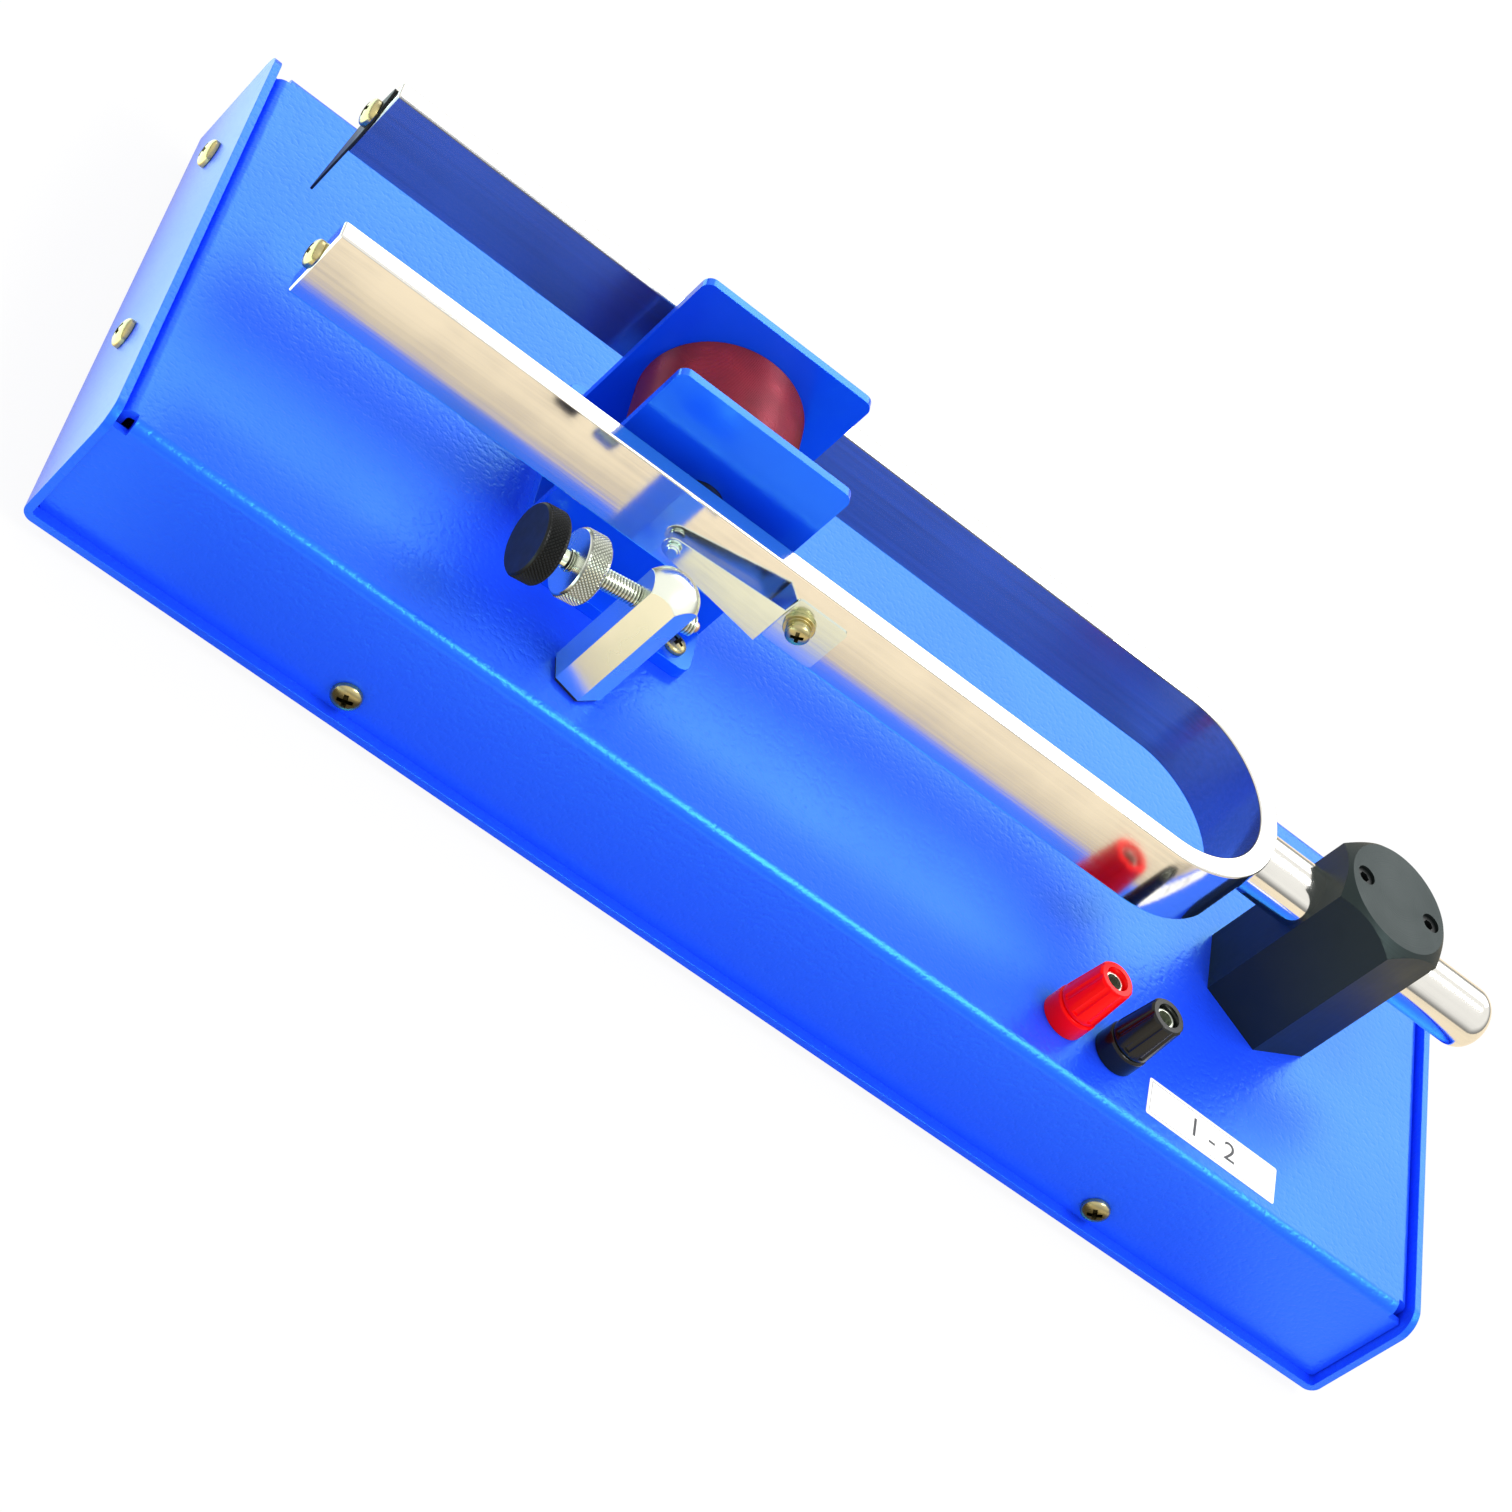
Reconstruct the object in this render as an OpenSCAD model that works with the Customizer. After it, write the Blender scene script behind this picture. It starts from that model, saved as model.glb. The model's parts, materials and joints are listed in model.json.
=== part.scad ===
// Electrically maintained tuning fork on a folded sheet-metal base.
// X runs along the fork, the prong tips at -X and the stem at +X. Y runs across, and Z is up.
// The origin is at the middle of the base, on the plane that its rubber feet stand on.

/* [Sheet-metal base] */
// Length of the tray over its two end walls
base_l = 375; // [330:5:450]
// Width of the tray
base_w = 140; // [125:1:180]
// Height of the end walls above the tray's underside
wall_h = 36.6; // [28:0.2:60]
// Thickness of the sheet
sheet_t = 2; // [1.2:0.1:2.5]
// Outside radius of every bend
bend_r = 3; // [2.8:0.1:5]
// Radius of the end walls' upper corners
wall_corner_r = 6; // [2:0.5:12]
// Width of the cover
cover_w = 134; // [120:1:176]
// Height of the cover's top above the tray's underside
cover_h = 35.2; // [27:0.2:58]
// Side of the square reliefs in the cover's corners
relief = 3.6; // [3.6:0.1:6]
// Depth of the flanges turned down at the cover's ends
end_flange_h = 27; // [24:0.5:27]
// Distance of the side screws from the base's middle
side_screw_x = 109; // [60:1:140]
// Height of the side screws above the tray's underside
side_screw_h = 7.5; // [7:0.1:12]
// Places of the end screws across the base
end_screw_ys = [-26, 44]; // [-55:1:55]
// Height of the end screws above the tray's underside
end_screw_h = 19.8; // [14:0.2:24]
// Diameter of the rubber feet
foot_d = 14; // [10:0.5:20]
// Height of the rubber feet
foot_h = 3.5; // [2:0.1:8]
// Distance of the feet from the base's edges
foot_inset = 16; // [10:1:30]

/* [Fork] */
// Height of the fork's middle above the cover
fork_rise = 32; // [30:0.5:45]
// Clear width between the prongs
fork_gap = 48; // [46:0.5:60]
// Thickness of the bar that the fork is bent from
prong_t = 5.5; // [4.6:0.1:7]
// Depth of that bar
prong_w = 20; // [16:0.5:26]
// Length of the straight prongs
prong_l = 236; // [220:1:240]
// Length of a prong beyond the middle of its bending
prong_free_l = 180; // [160:1:190]
// Diameter of the stem
stem_d = 16; // [12:0.5:18]
// Free stem between the yoke and the holder
stem_gap = 17.8; // [15:0.1:24]
// Stem that stands out past the holder
stem_out = 28; // [15:0.5:29]
// Rounding of the stem's free end
stem_end_r = 6; // [1:0.5:6]

/* [Fork holder] */
// Width of the hexagonal holder across its flats
holder_af = 32; // [28:0.5:36]
// Height of the holder
holder_h = 48.4; // [44:0.2:64]
// Distance of the holder's middle from the base's right end
holder_end = 58; // [52:0.5:70]
// Height of the turned chamfer on the holder's corners
holder_chamfer = 3; // [1:0.1:5]
// Distance between the two grub screws
grub_pitch = 21.5; // [16:0.5:22]
// Diameter of the grub screws
grub_d = 5; // [3:0.5:6]
// Diameter of the bolt that holds the holder from below
holder_bolt_d = 8; // [5:0.5:10]

/* [Electromagnet] */
// Distance of the coil's middle from the prong tips
coil_from_tip = 99.2; // [80:0.1:110]
// Width of the bobbin's flanges and foot
flange_w = 48; // [42:0.5:56]
// Height of the flanges above the foot
flange_h = 54.8; // [52:0.2:64]
// Thickness of the flanges
flange_t = 2.5; // [1.5:0.1:3.5]
// Radius of the flanges' upper corners
flange_corner_r = 2.5; // [1:0.5:6]
// Width of the bobbin over its two flanges
bobbin_w = 36; // [30:0.5:37]
// Thickness of the bobbin's foot
bobbin_foot_t = 3.4; // [2.5:0.1:5]
// Length of the foot across the base
bobbin_foot_w = 64; // [62:0.5:70]
// Outside diameter of the winding
winding_d = 39; // [30:0.5:42]
// Diameter of the wire as its outer layer is drawn
wire_d = 0.72; // [0.5:0.01:0.72]
// Turns in the outer layer
turns = 24; // [10:1:24]
// Diameter of the iron core
core_d = 13; // [8:0.5:16]
// Air gap between a pole and the prong beside it
pole_gap = 2.6; // [1.6:0.1:4]

/* [Contact pillar] */
// Width of the hexagonal pillar across its flats
pillar_af = 12; // [10:0.5:14]
// Distance from the near prong's face to the pillar's middle
contact_reach = 22.5; // [21.5:0.1:24]
// Height of the contact screw above the cover
contact_rise = 29.2; // [26:0.1:31]
// Pillar above the contact screw's axis
pillar_top = 9.8; // [7.5:0.1:12]
// Angle that the contact screw points at, from the +X direction
screw_turned = 11.7; // [0:0.1:20]
// Diameter of the contact screw's thread
screw_d = 5; // [4:0.1:5.5]
// Diameter of the plain neck between its head and its thread
screw_neck_d = 3.9; // [3:0.1:3.9]
// Contact screw on the tip's side of the pillar's middle
screw_in = 9.3; // [8:0.1:10]
// Contact screw from the pillar's middle to the back of its head
screw_back = 34.2; // [34:0.1:40]
// Diameter of the contact screw's head
head_d = 17.4; // [12:0.2:18]
// Thickness of the contact screw's head
head_t = 5.8; // [4:0.1:6]
// Diameter of the lock nut
nut_d = 16.4; // [10:0.2:18]
// Thickness of the lock nut
nut_t = 5.8; // [4:0.1:6]
// Distance from the pillar's middle to the lock nut
nut_from_pillar = 17.4; // [17.2:0.1:19]

/* [Contact spring] */
// Thickness of the spring strip
spring_t = 0.4; // [0.3:0.05:0.6]
// Distance from the contact rivet to the spring's fold
leaf_l = 29.1; // [24:0.1:32]
// Width of the leaf at its fold
leaf_root_w = 12; // [8:0.2:13]
// Width of the leaf at the rivet
leaf_tip_w = 5.4; // [5:0.2:8]
// Stand-off of the leaf from the prong at its fold
leaf_off_root = 4.8; // [3:0.1:5.5]
// Stand-off of the leaf from the prong at the rivet
leaf_off_tip = 2.2; // [1.8:0.1:3]
// Length of the spring's foot along the prong
spring_foot_l = 14; // [12:0.5:18]
// Width of the spring's foot
spring_foot_w = 14.2; // [12:0.2:15]
// Height of the foot's middle above the leaf's
spring_step = 0.6; // [0:0.1:1.5]
// Distance from the spring's fold to its screw
spring_screw_in = 4.7; // [4.5:0.1:8]
// Height of that screw above the foot's middle
spring_screw_up = 1.1; // [0:0.1:2]
// Rise of the leaf's middle line from the rivet to the fold
leaf_rise = 0.5; // [0:0.1:1.5]

/* [Binding posts] */
// Distance of the pair's middle from the base's right end
post_end = 108.1; // [90:0.1:130]
// Distance between the two posts
post_pitch = 16; // [15:0.5:19]
// Distance of the posts from the base's middle line
post_y = 50.2; // [42:0.2:54]
// Diameter of a post's collar
collar_d = 12; // [11.5:0.1:13]
// Height of a post's collar
collar_h = 5.8; // [4:0.1:8]
// Diameter of a cap at its foot
cap_d = 11.5; // [11:0.1:12.6]
// Diameter of a cap at its top
cap_top_d = 9.9; // [9.6:0.1:11]
// Height of a cap
cap_h = 12.9; // [11:0.1:15]
// Depth of the metal stud's end below the cap's top
stud_sink = 1.2; // [0.2:0.1:2]
// Bore of the sockets, for a standard plug
socket_d = 4; // [3.9:0.05:4.1]
// Depth of the sockets
socket_l = 18; // [14:0.5:19]

/* [Hidden] */
$fn = 64;

// Clearances, and the overrun of a cut past the face it opens
run_fit = 0.05;
play = 0.15;
cover_gap = 0.25;
seat_gap = 0.1;
over = 1;

// Pan-head screws: share of the head's height to its diameter, and of the cross recess
pan_h_share = 0.34;
cross_w_share = 0.13;
cross_l_share = 0.62;
cross_deep_share = 0.6;
panel_screw_d = 3.5;
panel_head_d = 7.2;
panel_screw_l = 9;
end_screw_l = 8;
small_screw_d = 3;
small_head_d = 5.8;
prong_screw_d = 3.5;
prong_head_d = 7;
prong_screw_l = 9;
nut_h_share = 0.8;
nut_af_share = 1.8;

// Levels
tray_z = foot_h;
floor_z = tray_z + sheet_t;
cover_z = tray_z + cover_h;
under_z = cover_z - sheet_t;
fork_z = cover_z + fork_rise;
contact_z = cover_z + contact_rise;

// Base
half_l = base_l / 2;
cover_l = base_l - 2 * sheet_t - 2 * cover_gap;
foot_x = half_l - foot_inset;
foot_y = base_w / 2 - foot_inset;
tab_t = 1.6;
tab_w = 18;
tab_h = 14;
tab_deep = 13;

// Places along the fork, from the holder to the tips
holder_x = half_l - holder_end;
holder_vertex_d = holder_af / cos(30);
chamfer_run_share = 0.3;
yoke_out_x = holder_x - holder_af / 2 - stem_gap;
fork_half = fork_gap / 2 + prong_t;
yoke_x = yoke_out_x - fork_half;
tip_x = yoke_x - prong_l;
swing_x = tip_x + prong_free_l;
prong_y = fork_gap / 2 + prong_t / 2;
swing_cut = 0.05;
stem_end_x = holder_x + holder_af / 2 + stem_out;
grub_l = fork_z + stem_d / 2;
holder_top = cover_z + holder_h;
grub_key_d = 2.9;
grub_sink = 0.8;
bolt_head_af = 13;
bolt_head_h = 5;
bolt_up = 14;
washer_t = 1.6;
washer_d = 17;

// Electromagnet
coil_x = tip_x + coil_from_tip;
foot_top_z = cover_z + bobbin_foot_t;
flange_in = bobbin_w / 2 - flange_t;
tube_t = 1.5;
core_l = fork_gap - 2 * pole_gap;
bobbin_screw_in = 5.5;
bobbin_screw_edge = 5.4;
bobbin_screw_x = flange_w / 2 - bobbin_screw_in;
bobbin_screw_y = bobbin_foot_w / 2 - bobbin_screw_edge;
bobbin_corner_r = 3;
bobbin_screw_l = 9;
lead_hole_d = 5;
lead_hole_y = 7;
turn_rings = 24;
wire_sides = 6;
wire_r = wire_d / 2;
winding_r = winding_d / 2 - wire_r;
pack_r = winding_r * cos(180 / turn_rings) - wire_r - seat_gap / 2;

// Pillar, contact screw and lock nut; u is measured along the screw from the pillar's middle
pillar_ahead = -0.6;
contact_x = coil_x + pillar_ahead;
pillar_y = -(fork_half + contact_reach);
pillar_washer_t = 1;
pillar_washer_in = 0.5;
pillar_z = cover_z + pillar_washer_t;
pillar_end_z = contact_z + pillar_top;
pillar_vertex_d = pillar_af / cos(30);
pillar_dome_h = 4;
pillar_dome_r = (pillar_vertex_d * pillar_vertex_d / 4 + pillar_dome_h * pillar_dome_h) / (2 * pillar_dome_h);
pillar_bolt_d = 4;
pillar_bolt_up = 10;
bush_d = 7;
bush_flange_d = 12;
bush_flange_t = 1.5;
head_u = -screw_back;
nut_u = -nut_from_pillar - nut_t;
thread_past_nut = 1;
tip_d = 2.6;
tip_l = 1.5;
tip_pin_d = 1.6;
tip_pin_l = 3;
head_edge = 0.5;

// Contact spring on the near prong's outer face
face_y = -fork_half;
fold_x = contact_x + leaf_l;
leaf_nose = leaf_tip_w / 2;
leaf_tilt = atan((leaf_off_root - leaf_off_tip) / leaf_l);
root_z = contact_z + leaf_rise;
spring_foot_z = contact_z + spring_step;
spring_foot_x = fold_x + spring_foot_l / 2;
spring_screw_x = fold_x + spring_screw_in;
spring_screw_z = spring_foot_z + spring_screw_up;
riser_share = 0.45;
spring_corner = 1.2;
spring_washer_d = 7.4;
spring_washer_t = 0.9;
rivet_d = 2.6;
rivet_out = 1.6;
rivet_back = 0.5;
rivet_head_d = 3.4;

// Stylus on the far prong's tip
stylus_t = 0.6;
stylus_w = 6.4;
stylus_up = 8;
stylus_down = 23.5;
stylus_lean = 8.6;

// Binding posts
post_x = half_l - post_end;
post_xs = [post_x - post_pitch / 2, post_x + post_pitch / 2];
stud_d = 6;
stud_down = 11;
stud_edge = 0.4;
stud_top = collar_h + cap_h - stud_sink;
spigot_d = 8.4;
lower_washer_d = 12;
lower_washer_t = 1.6;
bush_wall = 1;
bush_h = 6;
cap_floor_gap = 0.1;
flutes = 8;
flute_d = 2.4;
flute_deep = 0.45;
cap_lip = 1.4;

// Solder tags and leads under the cover
tag_t = 0.6;
tag_l = 14;
tag_w = 6;
tag_splay = 30;
tag_end_share = 0.88;
lead_d = 1.8;
lead_drop = 7;
lead_bend = 5;

// Colours
blue = [0.10, 0.28, 0.93];
coil_blue = [0.04, 0.24, 0.95];
steel = [0.80, 0.80, 0.78];
plated = [0.86, 0.85, 0.78];
zinc = [0.82, 0.76, 0.55];
black = [0.09, 0.10, 0.11];
dark_metal = [0.22, 0.24, 0.25];
rubber = [0.05, 0.05, 0.05];
copper = [0.45, 0.12, 0.13];
iron = [0.20, 0.20, 0.22];
brass = [0.80, 0.66, 0.36];
red = [0.90, 0.03, 0.07];
silver = [0.78, 0.80, 0.80];

// A flat shape with round upper corners, standing on the X axis
module round_top(w, h, r) {
    translate([-w / 2, 0]) square([w, h - r]);
    translate([r - w / 2, 0]) square([w - 2 * r, h]);
    for (s = [-1, 1]) translate([s * (w / 2 - r), h - r]) circle(r);
}

// A flat rectangle with four round corners, about its middle
module round_rect(w, h, r) {
    square([w - 2 * r, h], center = true);
    square([w, h - 2 * r], center = true);
    for (x = [-1, 1], y = [-1, 1]) translate([x * (w / 2 - r), y * (h / 2 - r)]) circle(r);
}

// A folded channel's section: a web on top and two legs with open ends downwards
module channel(w, h) {
    difference() {
        round_top(w, h, bend_r);
        translate([0, -over]) round_top(w - 2 * sheet_t, h - sheet_t + over, bend_r - sheet_t);
    }
}

// Extrude a section drawn in Y and Z along X, about x = 0
module along_x(l) {
    rotate([90, 0, 90]) linear_extrude(l, center = true) children();
}

// Extrude a section drawn in X and Z along Y, about y = 0
module along_y(l) {
    rotate([90, 0, 0]) linear_extrude(l, center = true) children();
}

// A pan-head screw with a cross recess: its seat at z = 0, its head upwards
module pan_screw(d, head, l) {
    h = head * pan_h_share;
    difference() {
        union() {
            rotate_extrude() intersection() {
                translate([0, h - (head * head / 4 + h * h) / (2 * h)]) circle((head * head / 4 + h * h) / (2 * h));
                square([head / 2, h]);
            }
            rotate_extrude() square([head / 2, h * 0.35]);
            translate([0, 0, -l]) cylinder(d = d, h = l);
        }
        for (a = [0, 90]) rotate(a)
            translate([0, 0, h + over / 2]) cube([head * cross_l_share, head * cross_w_share, over + 2 * h * cross_deep_share], center = true);
    }
}

// A hexagon nut: its lower face at z = 0
module hex_nut(d) {
    difference() {
        cylinder(d = d * nut_af_share / cos(30), h = d * nut_h_share, $fn = 6);
        translate([0, 0, -over]) cylinder(d = d + 2 * play, h = d * nut_h_share + 2 * over);
    }
}

// A flat ring: its lower face at z = 0
module ring(outer, inner, t) {
    difference() {
        cylinder(d = outer, h = t);
        translate([0, 0, -over]) cylinder(d = inner, h = t + 2 * over);
    }
}

// A hexagonal bar with its corners turned off at the top: flats facing +X and -X
module turned_hex(vertex_d, h, chamfer) {
    run = (vertex_d - vertex_d * cos(30)) / 2 + chamfer * chamfer_run_share;
    intersection() {
        rotate(30) cylinder(d = vertex_d, h = h, $fn = 6);
        union() {
            cylinder(d = vertex_d, h = h - chamfer);
            translate([0, 0, h - chamfer]) cylinder(r1 = vertex_d / 2, r2 = vertex_d / 2 - run, h = chamfer);
        }
    }
}

// Base
module base_tray() color(blue) difference() {
    intersection() {
        translate([0, 0, tray_z + wall_h]) mirror([0, 0, 1]) along_y(base_w) channel(base_l, wall_h);
        translate([0, 0, tray_z]) along_x(base_l) round_top(base_w, wall_h, wall_corner_r);
    }
    for (e = [-1, 1], y = end_screw_ys) translate([e * half_l, y, tray_z + end_screw_h])
        rotate([0, 90, 0]) cylinder(d = panel_screw_d + 2 * play, h = 4 * bend_r, center = true);
}

// A long leg of the cover, its lower corners cut off to clear the tray's bends
module leg_outline() {
    w = cover_l / 2;
    h = cover_z - floor_z - relief;
    cut = bend_r - sheet_t;
    polygon([[cut - w, 0], [w - cut, 0], [w, cut], [w, h], [-w, h], [-w, cut]]);
}

module top_cover() color(blue) difference() {
    union() {
        translate([0, 0, floor_z]) along_x(cover_l - 2 * relief) channel(cover_w, cover_z - floor_z);
        translate([0, 0, cover_z - end_flange_h]) along_y(cover_w - 2 * relief) channel(cover_l, end_flange_h);
        for (s = [-1, 1]) translate([0, s * (cover_w - sheet_t) / 2, floor_z]) along_y(sheet_t) leg_outline();
    }
    for (x = [-1, 1], s = [-1, 1]) translate([x * side_screw_x, s * cover_w / 2, tray_z + side_screw_h])
        rotate([90, 0, 0]) cylinder(d = panel_screw_d + 2 * play, h = 4 * sheet_t, center = true);
    for (e = [-1, 1], y = end_screw_ys) translate([e * half_l, y, tray_z + end_screw_h])
        rotate([0, 90, 0]) cylinder(d = panel_screw_d + 2 * play, h = 4 * bend_r, center = true);
    for (x = post_xs) translate([x, -post_y, under_z - over]) cylinder(d = spigot_d + 2 * play, h = sheet_t + 2 * over);
    translate([contact_x, pillar_y, under_z - over]) cylinder(d = bush_d + 2 * play, h = sheet_t + 2 * over);
    translate([holder_x, 0, under_z - over]) cylinder(d = holder_bolt_d + 2 * play, h = sheet_t + 2 * over);
    for (x = [-1, 1], y = [-1, 1]) translate([coil_x + x * bobbin_screw_x, y * bobbin_screw_y, under_z - over])
        cylinder(d = small_screw_d + 2 * play, h = sheet_t + 2 * over);
    for (y = [-1, 1]) translate([coil_x, y * lead_hole_y, under_z - over])
        cylinder(d = lead_hole_d, h = sheet_t + 2 * over);
}

// Angle tabs on the tray's floor, which the side screws hold
module tray_tabs() color(blue) for (x = [-1, 1], s = [-1, 1])
    translate([x * side_screw_x, s * (cover_w / 2 - sheet_t), floor_z]) difference() {
        union() {
            translate([-tab_w / 2, -(s + 1) / 2 * tab_t, 0]) cube([tab_w, tab_t, tab_h]);
            translate([-tab_w / 2, -(s + 1) / 2 * tab_deep, 0]) cube([tab_w, tab_deep, tab_t]);
        }
        translate([0, 0, side_screw_h - sheet_t]) rotate([90, 0, 0])
            cylinder(d = panel_screw_d + 2 * play, h = 4 * tab_t, center = true);
    }

module side_screws() color(zinc) for (x = [-1, 1], s = [-1, 1])
    translate([x * side_screw_x, s * cover_w / 2, tray_z + side_screw_h]) rotate([-s * 90, 0, 0])
        pan_screw(panel_screw_d, panel_head_d, panel_screw_l);

module end_screws() color(zinc) for (e = [-1, 1], y = end_screw_ys)
    translate([e * half_l, y, tray_z + end_screw_h]) rotate([0, e * 90, 0])
        pan_screw(panel_screw_d, panel_head_d, end_screw_l);

module end_nuts() color(zinc) for (e = [-1, 1], y = end_screw_ys)
    translate([e * (cover_l / 2 - sheet_t), y, tray_z + end_screw_h]) rotate([0, -e * 90, 0]) hex_nut(panel_screw_d);

module rubber_feet() color(rubber) for (x = [-1, 1], y = [-1, 1]) translate([x * foot_x, y * foot_y, 0])
    rotate_extrude() {
        square([foot_d / 2 - foot_h / 4, foot_h]);
        translate([0, foot_h / 4]) square([foot_d / 2, foot_h - foot_h / 4]);
        translate([foot_d / 2 - foot_h / 4, foot_h / 4]) circle(foot_h / 4);
    }

// Fork holder
module fork_holder() color(black) difference() {
    translate([holder_x, 0, cover_z]) turned_hex(holder_vertex_d, holder_h, holder_chamfer);
    translate([holder_x, 0, fork_z]) rotate([0, 90, 0]) cylinder(d = stem_d + 2 * run_fit, h = 2 * holder_af, center = true);
    for (s = [-1, 1]) translate([holder_x + s * grub_pitch / 2, 0, fork_z])
        cylinder(d = grub_d + 2 * play, h = holder_h);
    translate([holder_x, 0, cover_z - over]) cylinder(d = holder_bolt_d + 2 * play, h = bolt_up + 2 * over);
}

module grub_screws() color(dark_metal) for (s = [-1, 1])
    translate([holder_x + s * grub_pitch / 2, 0, grub_l + seat_gap]) difference() {
        cylinder(d = grub_d, h = holder_top - grub_sink - grub_l - seat_gap);
        translate([0, 0, holder_top - 2 * grub_sink - grub_l - grub_key_d]) cylinder(d = grub_key_d, h = 2 * grub_key_d, $fn = 6);
    }

module holder_bolt() color(steel) translate([holder_x, 0, under_z - washer_t - tag_t]) {
    cylinder(d = holder_bolt_d, h = tag_t + washer_t + sheet_t + bolt_up);
    translate([0, 0, -bolt_head_h]) cylinder(d = bolt_head_af / cos(30), h = bolt_head_h, $fn = 6);
}

module holder_washer() color(steel) translate([holder_x, 0, under_z - washer_t])
    ring(washer_d, holder_bolt_d + 2 * play, washer_t);

// Fork
module fork_bar(l) {
    translate([0, -prong_t / 2, -prong_w / 2]) cube([l, prong_t, prong_w]);
}

module fork_yoke() color(steel) translate([0, 0, fork_z]) {
    difference() {
        union() {
            translate([yoke_x, 0, -prong_w / 2]) intersection() {
                cylinder(r = fork_half, h = prong_w);
                translate([0, -fork_half, 0]) cube([fork_half, 2 * fork_half, prong_w]);
            }
            for (s = [-1, 1]) translate([swing_x + swing_cut / 2, s * prong_y, 0]) fork_bar(yoke_x - swing_x - swing_cut / 2);
        }
        translate([yoke_x, 0, -prong_w]) cylinder(d = fork_gap, h = 2 * prong_w);
    }
    translate([yoke_out_x - prong_t / 2, 0, 0]) rotate([0, 90, 0]) rotate_extrude() {
        square([stem_d / 2 - stem_end_r, stem_end_x - yoke_out_x + prong_t / 2]);
        square([stem_d / 2, stem_end_x - yoke_out_x + prong_t / 2 - stem_end_r]);
        translate([stem_d / 2 - stem_end_r, stem_end_x - yoke_out_x + prong_t / 2 - stem_end_r]) intersection() {
            circle(stem_end_r);
            square(stem_end_r);
        }
    }
}

// One prong from its tip to the point that it swings about, drilled for its end screw
module prong(s) {
    difference() {
        translate([tip_x, s * prong_y, fork_z]) fork_bar(prong_free_l - swing_cut / 2);
        translate([tip_x - over, s * prong_y, fork_z]) rotate([0, 90, 0])
            cylinder(d = prong_screw_d + 2 * run_fit, h = prong_screw_l + over);
    }
}

module near_prong() color(steel) difference() {
    prong(-1);
    translate([spring_screw_x, -prong_y, spring_screw_z]) rotate([90, 0, 0])
        cylinder(d = small_screw_d + 2 * play, h = 2 * prong_t, center = true);
}

module far_prong() color(steel) prong(1);

module near_end_screw() color(zinc) translate([tip_x, -prong_y, fork_z]) rotate([0, -90, 0])
    pan_screw(prong_screw_d, prong_head_d, prong_screw_l - over);

module far_end_screw() color(zinc) translate([tip_x - stylus_t, prong_y, fork_z]) rotate([0, -90, 0])
    pan_screw(prong_screw_d, prong_head_d, prong_screw_l - over);

module stylus() color(dark_metal) translate([tip_x, prong_y, fork_z]) rotate([-stylus_lean, 0, 0]) rotate([0, -90, 0])
    linear_extrude(stylus_t) difference() {
        polygon([[stylus_up, -stylus_t], [stylus_up, stylus_t], [0, stylus_w / 2], [-stylus_down / 4, stylus_w / 2],
            [-stylus_down, stylus_t / 2], [-stylus_down, -stylus_t / 2], [-stylus_down / 4, -stylus_w / 2], [0, -stylus_w / 2]]);
        circle(d = prong_screw_d + 2 * run_fit);
    }

// Contact spring: its foot lies on the prong, a short riser lifts the leaf clear, and the leaf tapers to the rivet
module contact_spring() color(silver) difference() {
    union() {
        translate([spring_foot_x, face_y, spring_foot_z]) rotate([90, 0, 0])
            linear_extrude(spring_t) round_rect(spring_foot_l, spring_foot_w, spring_corner);
        intersection() {
            along_y(4 * fork_half) leaf_outline();
            linear_extrude(2 * pillar_end_z) leaf_section();
        }
    }
    translate([spring_screw_x, face_y, spring_screw_z]) rotate([90, 0, 0])
        cylinder(d = small_screw_d + 2 * play, h = 4 * prong_t, center = true);
    translate([contact_x, face_y - leaf_off_tip, contact_z]) rotate([90, 0, -leaf_tilt])
        cylinder(d = rivet_d, h = 4 * rivet_out, center = true);
}

// The leaf seen along Y, with a round nose about the rivet
module leaf_outline() {
    low = root_z - leaf_root_w / 2;
    high = root_z + leaf_root_w / 2;
    end_x = fold_x + spring_foot_l / 4;
    polygon([[contact_x, contact_z - leaf_tip_w / 2], [fold_x, low], [end_x, low + spring_corner],
        [end_x, high], [fold_x, high], [contact_x, contact_z + leaf_tip_w / 2]]);
    translate([contact_x, contact_z]) circle(leaf_tip_w / 2);
}

// The leaf's bent section seen from above: nose, straight leaf, riser and the start of the foot
module leaf_section() {
    nose_x = contact_x - leaf_nose - over;
    nose_off = leaf_off_tip - tan(leaf_tilt) * (leaf_nose + over);
    riser = riser_share * leaf_off_root;
    polygon([[nose_x, face_y - nose_off], [fold_x - riser, face_y - leaf_off_root],
        [fold_x + spring_t / 2, face_y], [fold_x + spring_foot_l / 4, face_y],
        [fold_x + spring_foot_l / 4, face_y - spring_t], [fold_x + spring_t, face_y - spring_t],
        [fold_x - riser + spring_t / 2, face_y - leaf_off_root - spring_t], [nose_x, face_y - nose_off - spring_t]]);
}

module spring_rivet() color(silver) translate([contact_x, face_y - leaf_off_tip, contact_z]) rotate([90, 0, -leaf_tilt]) {
    translate([0, 0, -rivet_back]) cylinder(d = rivet_head_d, h = rivet_back - run_fit);
    translate([0, 0, -rivet_back]) cylinder(d = rivet_d - 2 * run_fit, h = rivet_back + spring_t + rivet_out);
    translate([0, 0, 2 * spring_t]) cylinder(d = rivet_head_d, h = rivet_out / 2);
}

module spring_washers() color(zinc) translate([spring_screw_x, face_y - spring_t, spring_screw_z]) rotate([90, 0, 0]) {
    ring(spring_washer_d, small_screw_d + 2 * play, spring_washer_t);
    translate([0, 0, spring_washer_t]) difference() {
        ring(spring_washer_d - 2 * spring_washer_t, small_screw_d + 2 * play, 1.5 * spring_washer_t);
        rotate(20) translate([0, -spring_washer_t / 2, -over]) cube([spring_washer_d, spring_washer_t, 3 * over]);
    }
}

module spring_screw() color(zinc) translate([spring_screw_x, face_y - spring_t - 2.5 * spring_washer_t, spring_screw_z])
    rotate([90, 0, 0]) pan_screw(small_screw_d, small_head_d, prong_t + spring_t);

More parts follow.
